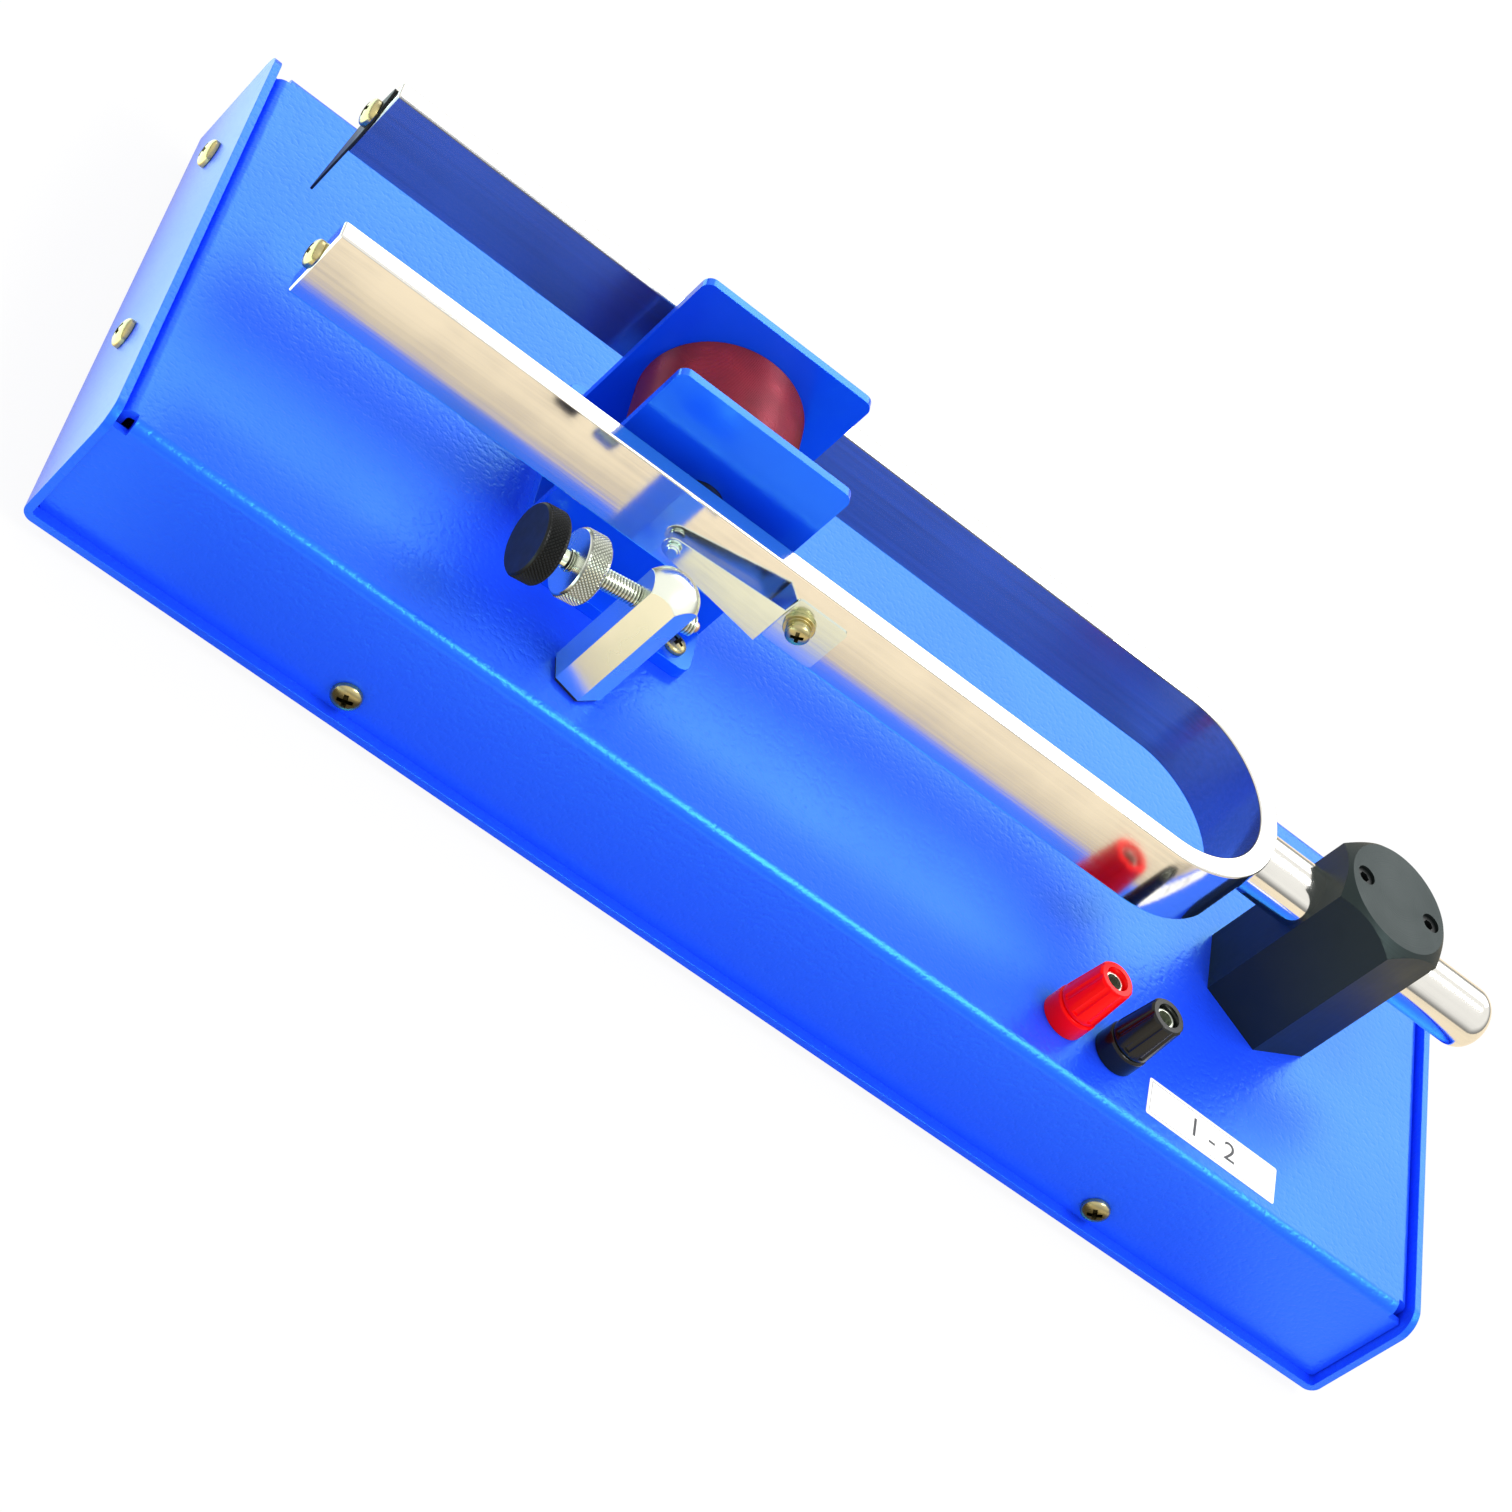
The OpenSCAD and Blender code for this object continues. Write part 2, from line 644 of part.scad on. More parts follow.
// Pillar
module contact_pillar() color(plated) difference() {
    translate([contact_x, pillar_y, pillar_z]) rotate(screw_turned) intersection() {
        rotate(30) cylinder(d = pillar_vertex_d, h = pillar_end_z - pillar_z, $fn = 6);
        union() {
            cylinder(d = 2 * pillar_vertex_d, h = pillar_end_z - pillar_z - pillar_dome_h);
            translate([0, 0, pillar_end_z - pillar_z - pillar_dome_r]) sphere(r = pillar_dome_r);
        }
    }
    translate([contact_x, pillar_y, contact_z]) rotate(screw_turned) rotate([0, 90, 0])
        cylinder(d = screw_d + 2 * run_fit, h = 2 * pillar_af, center = true);
    translate([contact_x, pillar_y, pillar_z - over]) cylinder(d = pillar_bolt_d + 2 * play, h = pillar_bolt_up + 2 * over);
}

module pillar_bolt() color(zinc) translate([contact_x, pillar_y, under_z - bush_flange_t - tag_t]) {
    rotate([180, 0, 0]) difference() {
        cylinder(d = pillar_bolt_d * nut_af_share, h = pillar_bolt_d * nut_h_share);
        translate([-pillar_bolt_d, -pillar_bolt_d / 8, pillar_bolt_d / 2]) cube([2 * pillar_bolt_d, pillar_bolt_d / 4, pillar_bolt_d]);
    }
    cylinder(d = pillar_bolt_d, h = tag_t + bush_flange_t + sheet_t + pillar_washer_t + pillar_bolt_up);
}

module pillar_washer() color(black) translate([contact_x, pillar_y, cover_z]) rotate(screw_turned + 30) difference() {
    cylinder(d = pillar_vertex_d - 2 * pillar_washer_in, h = pillar_washer_t, $fn = 6);
    translate([0, 0, -over]) cylinder(d = pillar_bolt_d + 2 * run_fit, h = pillar_washer_t + 2 * over);
}

module pillar_bush() color(black) translate([contact_x, pillar_y, under_z - bush_flange_t]) {
    ring(bush_flange_d, pillar_bolt_d + 2 * run_fit, bush_flange_t);
    ring(bush_d, pillar_bolt_d + 2 * run_fit, bush_flange_t + sheet_t);
}

// Put children, drawn along +Z from the pillar's middle, on the contact screw's axis
module on_screw_axis(u) {
    translate([contact_x, pillar_y, contact_z]) rotate(screw_turned) rotate([0, 90, 0]) translate([0, 0, u]) children();
}

// A short round knob with chamfered edges
module knob(d, t) {
    cylinder(d1 = d - 2 * head_edge, d2 = d, h = head_edge);
    translate([0, 0, head_edge]) cylinder(d = d, h = t - 2 * head_edge);
    translate([0, 0, t - head_edge]) cylinder(d1 = d, d2 = d - 2 * head_edge, h = head_edge);
}

module contact_screw() color(dark_metal) on_screw_axis(head_u) difference() {
    union() {
        knob(head_d, head_t);
        cylinder(d = screw_neck_d, h = screw_in - head_u);
        translate([0, 0, nut_u - thread_past_nut - head_u])
            cylinder(d = screw_d, h = screw_in - nut_u + thread_past_nut);
    }
    translate([0, 0, screw_in - head_u - tip_pin_l]) cylinder(d = tip_pin_d + 2 * run_fit, h = tip_pin_l + over);
}

module contact_tip() color(copper) on_screw_axis(screw_in) {
    translate([0, 0, -tip_pin_l + run_fit]) cylinder(d = tip_pin_d, h = tip_pin_l);
    translate([0, 0, run_fit]) cylinder(d = tip_d, h = tip_l * 2 / 3 - run_fit);
    translate([0, 0, tip_l * 2 / 3]) cylinder(d1 = tip_d, d2 = tip_pin_d, h = tip_l / 3);
}

module lock_nut() color(plated) on_screw_axis(nut_u) difference() {
    knob(nut_d, nut_t);
    translate([0, 0, -over]) cylinder(d = screw_d + 2 * run_fit, h = nut_t + 2 * over);
}

// Electromagnet
module bobbin() color(coil_blue) translate([coil_x, 0, 0]) difference() {
    union() {
        translate([0, 0, cover_z]) linear_extrude(bobbin_foot_t) round_rect(flange_w, bobbin_foot_w, bobbin_corner_r);
        for (s = [-1, 1]) translate([0, s * (bobbin_w - flange_t) / 2, foot_top_z])
            along_y(flange_t) round_top(flange_w, flange_h, flange_corner_r);
        translate([0, 0, fork_z]) rotate([90, 0, 0]) cylinder(d = core_d + 2 * tube_t, h = bobbin_w - flange_t, center = true);
    }
    translate([0, 0, fork_z]) rotate([90, 0, 0]) cylinder(d = core_d + 2 * run_fit, h = bobbin_foot_w, center = true);
    for (x = [-1, 1], y = [-1, 1]) translate([x * bobbin_screw_x, y * bobbin_screw_y, cover_z - over])
        cylinder(d = small_screw_d + 2 * play, h = bobbin_foot_t + 2 * over);
    for (y = [-1, 1]) translate([0, y * lead_hole_y, cover_z - over]) cylinder(d = lead_d + 2 * play, h = bobbin_foot_t + 2 * over);
}

module winding_pack() color(copper) translate([coil_x, 0, fork_z]) rotate([90, 0, 0]) difference() {
    cylinder(r = pack_r, h = 2 * flange_in, center = true);
    cylinder(d = core_d + 2 * tube_t + 2 * seat_gap, h = 3 * flange_in, center = true);
}

// The outer layer of the winding is one unbroken wire. Its route is worked out on the flat: s along a turn, y across.
// Each end runs straight out of its flange, turns through a quarter circle and joins the helix.
end_run = wire_d;
corner_r = wire_d;
lay_y = flange_in - end_run - corner_r;
lay_s = 2 * PI * winding_r * turns;
quarter = 3;
route = concat(
    [[0, -flange_in], [0, -flange_in + end_run]],
    [for (k = [1:quarter]) let (a = 90 * k / quarter) [corner_r * (1 - cos(a)), -flange_in + end_run + corner_r * sin(a)]],
    [for (k = [1:turns * turn_rings - 1]) [corner_r + (lay_s - 2 * corner_r) * k / (turns * turn_rings), -lay_y + 2 * lay_y * k / (turns * turn_rings)]],
    [for (k = [quarter:-1:1]) let (a = 90 * k / quarter) [lay_s - corner_r * (1 - cos(a)), flange_in - end_run - corner_r * sin(a)]],
    [[lay_s, flange_in - end_run], [lay_s, flange_in]]);
function on_drum(p, r) = let (a = p[0] / winding_r * 180 / PI) [r * cos(a), p[1], r * sin(a)];
wire_path = [for (p = route) on_drum(p, winding_r)];
function step_of(i) = let (a = route[max(i - 1, 0)], b = route[min(i + 1, len(route) - 1)]) (b - a) / norm(b - a);
function wire_ring(i) = let (p = route[i], t = step_of(i), a = p[0] / winding_r * 180 / PI)
    [for (k = [0:wire_sides - 1]) let (c = wire_r * cos(360 * k / wire_sides), e = wire_r * sin(360 * k / wire_sides))
        wire_path[i] + c * [cos(a), 0, sin(a)] + e * [-sin(a) * -t[1], t[0], cos(a) * -t[1]]];
least_gap = min([for (i = [0:len(wire_path) - 1], j = [i + turn_rings - 4:min(i + turn_rings + 4, len(wire_path) - 1)])
    norm(wire_path[i] - wire_path[j]) - wire_d]);
echo(winding_least_gap = least_gap);

module winding_wire() color(copper) translate([coil_x, 0, fork_z]) polyhedron(
    points = [for (i = [0:len(route) - 1]) each wire_ring(i)],
    faces = concat(
        [for (k = [1:wire_sides - 2]) [0, k + 1, k]],
        [for (i = [0:len(route) - 2], k = [0:wire_sides - 1]) let (a = i * wire_sides + k, b = i * wire_sides + (k + 1) % wire_sides)
            [a, b, a + wire_sides]],
        [for (i = [0:len(route) - 2], k = [0:wire_sides - 1]) let (a = i * wire_sides + k, b = i * wire_sides + (k + 1) % wire_sides)
            [b, b + wire_sides, a + wire_sides]],
        [for (k = [1:wire_sides - 2]) let (o = (len(route) - 1) * wire_sides) [o, o + k, o + k + 1]]));

module magnet_core() color(iron) translate([coil_x, 0, fork_z]) rotate([90, 0, 0])
    cylinder(d = core_d, h = core_l, center = true);

module bobbin_screws() color(zinc) for (x = [-1, 1], y = [-1, 1])
    translate([coil_x + x * bobbin_screw_x, y * bobbin_screw_y, foot_top_z]) pan_screw(small_screw_d, small_head_d, bobbin_screw_l);

module bobbin_nuts() color(zinc) for (x = [-1, 1], y = [-1, 1])
    translate([coil_x + x * bobbin_screw_x, y * bobbin_screw_y, under_z]) rotate([180, 0, 0]) hex_nut(small_screw_d);

// Binding posts
module post_collar(x) translate([x, -post_y, 0]) difference() {
    union() {
        translate([0, 0, cover_z]) cylinder(d = collar_d, h = collar_h - head_edge);
        translate([0, 0, cover_z + collar_h - head_edge]) cylinder(d1 = collar_d, d2 = collar_d - 2 * head_edge, h = head_edge);
        translate([0, 0, under_z]) cylinder(d = spigot_d, h = sheet_t);
    }
    translate([0, 0, under_z - over]) cylinder(d = stud_d + 2 * play, h = sheet_t + collar_h + 2 * over);
}

module red_post_collar() color(red) post_collar(post_xs[0]);

module black_post_collar() color(black) post_collar(post_xs[1]);

module post_studs() color(brass) for (x = post_xs) translate([x, -post_y, cover_z]) difference() {
    union() {
        translate([0, 0, -stud_down]) cylinder(d = stud_d, h = stud_down + stud_top - stud_edge);
        translate([0, 0, stud_top - stud_edge]) cylinder(d1 = stud_d, d2 = stud_d - 2 * stud_edge, h = stud_edge);
    }
    translate([0, 0, stud_top - socket_l]) cylinder(d = socket_d, h = socket_l + over);
}

module cap_bush(x) translate([x, -post_y, cover_z + collar_h + cap_floor_gap])
    ring(stud_d + 2 * run_fit + 2 * bush_wall, stud_d + 2 * run_fit, bush_h);

module red_cap_bush() color(brass) cap_bush(post_xs[0]);

module black_cap_bush() color(brass) cap_bush(post_xs[1]);

// A tapered cap with flutes, open on its stud and counterbored for its bush
module post_cap(x) translate([x, -post_y, cover_z + collar_h + cap_floor_gap]) difference() {
    union() {
        cylinder(d1 = cap_d - head_edge, d2 = cap_d, h = cap_lip / 2);
        translate([0, 0, cap_lip / 2]) cylinder(d1 = cap_d, d2 = cap_top_d, h = cap_h - cap_lip / 2 - head_edge - cap_floor_gap);
        translate([0, 0, cap_h - head_edge - cap_floor_gap]) cylinder(d1 = cap_top_d, d2 = cap_top_d - 2 * head_edge, h = head_edge);
    }
    for (k = [0:flutes - 1]) rotate(360 * (k + 1 / 2) / flutes)
        translate([(cap_d + flute_d) / 2 - flute_deep, 0, cap_lip])
            rotate([0, -atan((cap_d - cap_top_d) / 2 / cap_h), 0]) cylinder(d = flute_d, h = 2 * cap_h);
    translate([0, 0, -over]) cylinder(d = stud_d + 2 * play, h = cap_h + 2 * over);
    translate([0, 0, -over]) cylinder(d = stud_d + 4 * run_fit + 2 * bush_wall, h = bush_h + run_fit + over);
}

module red_cap() color(red) post_cap(post_xs[0]);

module black_cap() color(black) post_cap(post_xs[1]);

module post_washers() color(black) for (x = post_xs) translate([x, -post_y, under_z - lower_washer_t])
    ring(lower_washer_d, stud_d + 2 * play, lower_washer_t);

module post_nuts() color(brass) for (x = post_xs) translate([x, -post_y, under_z - lower_washer_t - tag_t])
    rotate([180, 0, 0]) hex_nut(stud_d);

// A solder tag with its eye round a stud, its tail along +X, and its upper face at z = 0
module tag(hole) {
    translate([0, 0, -tag_t]) difference() {
        union() {
            cylinder(d = hole + tag_w / 2, h = tag_t);
            translate([0, -tag_w / 4, 0]) cube([tag_l, tag_w / 2, tag_t]);
        }
        translate([0, 0, -over]) cylinder(d = hole, h = tag_t + 2 * over);
    }
}

module solder_tags() color(silver) {
    for (k = [0, 1]) translate([post_xs[k], -post_y, under_z - lower_washer_t])
        rotate(90 + (1 - 2 * k) * tag_splay) tag(stud_d + 2 * play);
    translate([contact_x, pillar_y, under_z - bush_flange_t]) rotate(90) tag(pillar_bolt_d + 2 * play);
    translate([holder_x, 0, under_z - washer_t]) rotate(180) tag(holder_bolt_d + 2 * play);
}

// A round lead swept along its route: eight sides, and each corner eased by a short curve
lead_sides = 8;
bend_steps = 4;
function unit(v) = v / norm(v);
function eased(p) = concat([p[0]], [for (i = [1:len(p) - 2], k = [0:bend_steps])
    let (t = k / bend_steps, u = unit(p[i - 1] - p[i]), v = unit(p[i + 1] - p[i]))
    p[i] + lead_bend * ((1 - t) * (1 - t) * u + t * t * v)], [p[len(p) - 1]]);
function facing(p, i) = let (a = unit(p[max(i, 1)] - p[max(i, 1) - 1]), n = min(i, len(p) - 2))
    unit(a + unit(p[n + 1] - p[n]));
function lead_rings(p, i, ring) = i == len(p) ? [] : let (
    along = unit(p[max(i, 1)] - p[max(i, 1) - 1]), n = facing(p, i),
    here = i == 0 ? ring : [for (q = ring) q + along * ((p[i] - q) * n) / (along * n)])
    concat(here, lead_rings(p, i + 1, here));

module lead(route_points) {
    p = eased(route_points);
    n = lead_sides;
    start = [for (k = [0:n - 1]) p[0] + lead_d / 2 * [cos(360 * k / n), -sin(360 * k / n), 0]];
    polyhedron(points = lead_rings(p, 0, start), faces = concat(
        [[for (k = [0:n - 1]) k]],
        [for (i = [0:len(p) - 2], k = [0:n - 1]) [i * n + k, (i + 1) * n + k, i * n + (k + 1) % n]],
        [for (i = [0:len(p) - 2], k = [0:n - 1]) [i * n + (k + 1) % n, (i + 1) * n + k, (i + 1) * n + (k + 1) % n]],
        [[for (k = [n - 1:-1:0]) (len(p) - 1) * n + k]]));
}

lead_z = under_z - lead_drop - lower_washer_t;
post_tag_z = under_z - lower_washer_t - tag_t;
pillar_tag_z = under_z - bush_flange_t - tag_t;
holder_tag_z = under_z - washer_t - tag_t;
tag_end = tag_l * tag_end_share;

module coil_lead() color(red) lead([
    [post_xs[0] - tag_end * sin(tag_splay), -post_y + tag_end * cos(tag_splay), post_tag_z],
    [post_xs[0] - tag_end * sin(tag_splay), -post_y + tag_end * cos(tag_splay), lead_z],
    [coil_x, lead_hole_y, lead_z],
    [coil_x, lead_hole_y, foot_top_z]]);

module pillar_lead() color(coil_blue) lead([
    [coil_x, -lead_hole_y, foot_top_z],
    [coil_x, -lead_hole_y, lead_z],
    [contact_x, pillar_y + tag_end, lead_z],
    [contact_x, pillar_y + tag_end, pillar_tag_z]]);

module frame_lead() color(rubber) lead([
    [post_xs[1] + tag_end * sin(tag_splay), -post_y + tag_end * cos(tag_splay), post_tag_z],
    [post_xs[1] + tag_end * sin(tag_splay), -post_y + tag_end * cos(tag_splay), lead_z],
    [holder_x - tag_end, 0, lead_z],
    [holder_x - tag_end, 0, holder_tag_z]]);

base_tray();
top_cover();
tray_tabs();
side_screws();
end_screws();
end_nuts();
rubber_feet();
fork_holder();
grub_screws();
holder_bolt();
holder_washer();
fork_yoke();
near_prong();
far_prong();
near_end_screw();
far_end_screw();
stylus();
contact_spring();
spring_rivet();
spring_washers();
spring_screw();
contact_pillar();
pillar_bolt();
pillar_washer();
pillar_bush();
contact_screw();
contact_tip();
lock_nut();
bobbin();
winding_pack();
winding_wire();
magnet_core();
bobbin_screws();
bobbin_nuts();
red_post_collar();
black_post_collar();
post_studs();
red_cap_bush();
black_cap_bush();
red_cap();
black_cap();
post_washers();
post_nuts();
solder_tags();
coil_lead();
pillar_lead();
frame_lead();
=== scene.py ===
"""Looks of an electrically maintained tuning fork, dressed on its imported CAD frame.

All places are metres in the frame's own axes: X from the prong tips to the stem, Y from the contact pillar's
side to the other, and Z up from the plane that the feet stand on.
"""

import json
import logging
import math
from collections.abc import Callable, Iterable, Iterator
from contextlib import contextmanager
from dataclasses import dataclass
from enum import Enum

import bpy
from mathutils import Matrix, Vector

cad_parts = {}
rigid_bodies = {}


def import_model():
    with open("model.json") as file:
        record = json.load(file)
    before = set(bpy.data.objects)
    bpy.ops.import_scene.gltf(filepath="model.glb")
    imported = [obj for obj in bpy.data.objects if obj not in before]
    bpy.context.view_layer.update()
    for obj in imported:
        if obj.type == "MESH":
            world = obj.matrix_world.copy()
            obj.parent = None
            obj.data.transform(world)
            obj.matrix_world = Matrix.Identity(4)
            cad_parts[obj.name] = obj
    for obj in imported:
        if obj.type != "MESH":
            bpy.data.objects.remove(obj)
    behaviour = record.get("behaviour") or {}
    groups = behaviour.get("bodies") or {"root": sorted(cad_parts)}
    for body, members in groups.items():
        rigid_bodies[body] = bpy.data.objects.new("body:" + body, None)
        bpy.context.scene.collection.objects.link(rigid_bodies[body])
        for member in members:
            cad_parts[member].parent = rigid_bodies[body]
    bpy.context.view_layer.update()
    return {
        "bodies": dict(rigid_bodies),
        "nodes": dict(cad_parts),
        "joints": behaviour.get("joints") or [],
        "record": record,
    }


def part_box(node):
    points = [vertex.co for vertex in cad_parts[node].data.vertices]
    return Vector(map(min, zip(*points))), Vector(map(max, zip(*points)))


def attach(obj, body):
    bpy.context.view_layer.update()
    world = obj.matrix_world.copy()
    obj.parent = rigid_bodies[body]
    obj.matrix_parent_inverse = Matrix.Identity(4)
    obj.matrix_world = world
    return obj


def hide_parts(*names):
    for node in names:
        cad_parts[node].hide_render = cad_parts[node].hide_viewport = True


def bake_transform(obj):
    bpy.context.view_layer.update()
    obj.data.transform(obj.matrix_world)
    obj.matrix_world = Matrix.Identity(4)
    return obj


LOG = logging.getLogger("tuning_fork")
Piece = bpy.types.Object
Socket = bpy.types.NodeSocket
Colour = tuple[float, float, float]
Spot = tuple[float, float, float]
Pair = tuple[float, float]
Profile = list[Pair]

# Corners closer than this are one, in metres
WELD = 1e-6
# What is closer to a plane than this lies on it, in metres
NEAR = 1e-5
# An edge or a normal counts as along an axis past this cosine
ALONG = 0.9
# A face looks along an axis, more or less, past this cosine
FACING = 0.7


class Pick(Enum):
    """What an edit-mode step selects."""

    VERTS = "VERT"
    EDGES = "EDGE"
    FACES = "FACE"


class Slot(Enum):
    """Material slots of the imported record."""

    BLUE_PAINT = "blue_paint"
    YELLOW_ZINC = "yellow_zinc"
    FOOT_RUBBER = "foot_rubber"
    BLACK_COAT = "black_coat"
    DARK_STEEL = "dark_steel"
    FORK_STEEL = "fork_steel"
    TINNED = "tinned"
    NICKEL_PLATE = "nickel_plate"
    INSULATOR = "insulator"
    COPPER_TIP = "copper_tip"
    BLUE_PLASTIC = "blue_plastic"
    ENAMEL_WIRE = "enamel_wire"
    CORE_IRON = "core_iron"
    RED_PLASTIC = "red_plastic"
    BLACK_PLASTIC = "black_plastic"
    BRASS_INSERT = "brass_insert"


class Part(Enum):
    """Finishes of a part of a piece, beside that of its slot."""

    INNER_STEEL = "inner_steel"
    LABEL_PAPER = "label_paper"
    LABEL_INK = "label_ink"


class Effect(Enum):
    """Surface effects that several finishes share."""

    MOTTLE = "mottle"
    STIPPLE = "stipple"
    STREAKS = "streaks"
    TURNING = "turning"


# Modelling steps


def select_only(piece: Piece) -> None:
    """Leave one piece selected and active, in object mode.

    Args:
        piece: The piece to select.
    """
    if bpy.context.object and bpy.context.object.mode != "OBJECT":
        bpy.ops.object.mode_set(mode="OBJECT")
    bpy.ops.object.select_all(action="DESELECT")
    piece.select_set(True)
    bpy.context.view_layer.objects.active = piece


def mark(mesh: bpy.types.Mesh, kind: Pick, test: Callable[..., bool]) -> None:
    """Flag the elements of a mesh that pass a test.

    Args:
        mesh: The mesh to flag, in object mode.
        kind: What is tested: vertices by place, edges by middle and direction, faces by middle and normal.
        test: Says which are wanted.
    """
    if kind is Pick.VERTS:
        for vert in mesh.vertices:
            vert.select = test(vert.co)
    elif kind is Pick.EDGES:
        for edge in mesh.edges:
            start, end = (mesh.vertices[index].co for index in edge.vertices)
            edge.select = test((start + end) / 2, (end - start).normalized())
    else:
        for face in mesh.polygons:
            face.select = test(face.center, face.normal)


@contextmanager
def editing(
    piece: Piece, kind: Pick = Pick.VERTS, test: Callable[..., bool] | None = None
) -> Iterator[None]:
    """Open a piece in edit mode, with all of it or what passes a test selected.

    Args:
        piece: The piece to edit.
        kind: Vertices, edges or faces.
        test: What to select. Everything is selected without one.

    Yields:
        Nothing. Object mode returns at the end.
    """
    select_only(piece)
    bpy.ops.object.mode_set(mode="EDIT")
    bpy.ops.mesh.select_mode(type=kind.value)
    bpy.ops.mesh.select_all(action="DESELECT" if test else "SELECT")
    if test:
        bpy.ops.object.mode_set(mode="OBJECT")
        mark(piece.data, kind, test)
        bpy.ops.object.mode_set(mode="EDIT")
    yield
    bpy.ops.object.mode_set(mode="OBJECT")


def settle(piece: Piece, place: Matrix | None = None) -> Piece:
    """Move a piece to its place and apply that, so that its object stays at the origin.

    Args:
        piece: The piece, modelled about the origin or in place.
        place: Where it goes.

    Returns:
        The same piece.
    """
    select_only(piece)
    if place is not None:
        piece.matrix_world = place @ piece.matrix_world
    bpy.ops.object.transform_apply(location=True, rotation=True, scale=True)
    return piece


def block(size: Iterable[float], middle: Iterable[float]) -> Piece:
    """Model a box.

    Args:
        size: Its length, width and height.
        middle: Where its middle is.

    Returns:
        The box.
    """
    bpy.ops.mesh.primitive_cube_add(size=1, location=middle)
    piece = bpy.context.object
    piece.scale = size
    return settle(piece)


def knit(piece: Piece, weld: float = WELD, fill: bool = False) -> Piece:
    """Merge doubled corners and turn every face outwards.

    Args:
        piece: The piece.
        weld: Distance under which corners are one.
        fill: Whether open ends are closed first.

    Returns:
        The same piece.
    """
    with editing(piece):
        bpy.ops.mesh.remove_doubles(threshold=weld)
        if fill:
            bpy.ops.mesh.fill_holes(sides=0)
        bpy.ops.mesh.normals_make_consistent(inside=False)
    return piece


def modified(piece: Piece, kind: str, **settings: object) -> Piece:
    """Add one modifier and apply it.

    Args:
        piece: The piece to change.
        kind: The modifier's type.
        **settings: Its settings.

    Returns:
        The same piece.
    """
    modifier = piece.modifiers.new(kind.lower(), kind)
    for key, value in settings.items():
        setattr(modifier, key, value)
    select_only(piece)
    bpy.ops.object.modifier_apply(modifier=modifier.name)
    return piece


def round_edges(piece: Piece, width: float, segments: int = 2, angle: float = 32.0) -> Piece:
    """Round every edge sharper than an angle.

    Args:
        piece: The piece to round.
        width: Width of the rounding, in metres.
        segments: Steps across it.
        angle: Least angle between two faces, in degrees.

    Returns:
        The same piece.
    """
    return modified(
        piece, "BEVEL", width=width, segments=segments, limit_method="ANGLE", angle_limit=math.radians(angle)
    )


def shade(piece: Piece, angle: float = 34.0) -> Piece:
    """Shade a piece smooth, keep edges sharper than an angle, and favour its large faces.

    Args:
        piece: The piece to shade.
        angle: The angle, in degrees.

    Returns:
        The same piece.
    """
    select_only(piece)
    bpy.ops.object.shade_smooth_by_angle(angle=math.radians(angle))
    return modified(piece, "WEIGHTED_NORMAL", keep_sharp=True, weight=80)


def carve(piece: Piece, tool: Piece) -> None:
    """Cut the shape of a tool out of a piece, and remove the tool.

    Args:
        piece: The piece to cut.
        tool: A closed solid.
    """
    modified(piece, "BOOLEAN", operation="DIFFERENCE", object=tool, solver="EXACT")
    bpy.data.objects.remove(tool)


def join(pieces: list[Piece]) -> Piece:
    """Join several pieces into the first.

    Args:
        pieces: The pieces.

    Returns:
        The first piece, which now holds them all.
    """
    select_only(pieces[0])
    for piece in pieces[1:]:
        piece.select_set(True)
    bpy.ops.object.join()
    return pieces[0]


def share(value: float) -> float:
    """Keep a value between 0 and 1."""
    return min(1.0, max(0.0, value))


def sunken(piece: Piece, pick: Pick, depth: Callable[[Vector], float]) -> Piece:
    """Store where a piece lies in a groove or recess, for its finish to darken there with painted shade.

    Args:
        piece: The piece.
        pick: Whether faces or corners are told apart.
        depth: How deep one lies, from 0 to 1, by its place.

    Returns:
        The same piece.
    """
    if pick is Pick.FACES:
        layer = piece.data.attributes.new("sunken", "FLOAT", "FACE")
        places = [face.center for face in piece.data.polygons]
    else:
        layer = piece.data.attributes.new("sunken", "FLOAT", "POINT")
        places = [vert.co for vert in piece.data.vertices]
    layer.data.foreach_set("value", [depth(place) for place in places])
    return piece


def profile_line(points: Profile) -> Piece:
    """Draw a line of (radius, height) points in the XZ plane, one extrusion after another.

    Args:
        points: The points.

    Returns:
        The line, as a mesh with no faces.
    """
    bpy.ops.mesh.primitive_plane_add(size=0.001)
    line = bpy.context.object
    with editing(line):
        bpy.ops.mesh.merge(type="CENTER")
        bpy.ops.transform.translate(value=(points[0][0], 0.0, points[0][1]))
        for (r0, z0), (r1, z1) in zip(points, points[1:]):
            bpy.ops.mesh.extrude_vertices_move(TRANSFORM_OT_translate={"value": (r1 - r0, 0.0, z1 - z0)})
    return line


def turned(points: Profile, steps: int = 64) -> Piece:
    """Turn a profile about Z, as on a lathe.

    Args:
        points: (radius, height) points, from axis to axis or round a closed loop.
        steps: Faces round the axis.

    Returns:
        The turned piece.
    """
    piece = profile_line(points)
    with editing(piece):
        bpy.ops.mesh.spin(steps=steps, angle=2 * math.pi, center=(0, 0, 0), axis=(0, 0, 1))
    return knit(piece)


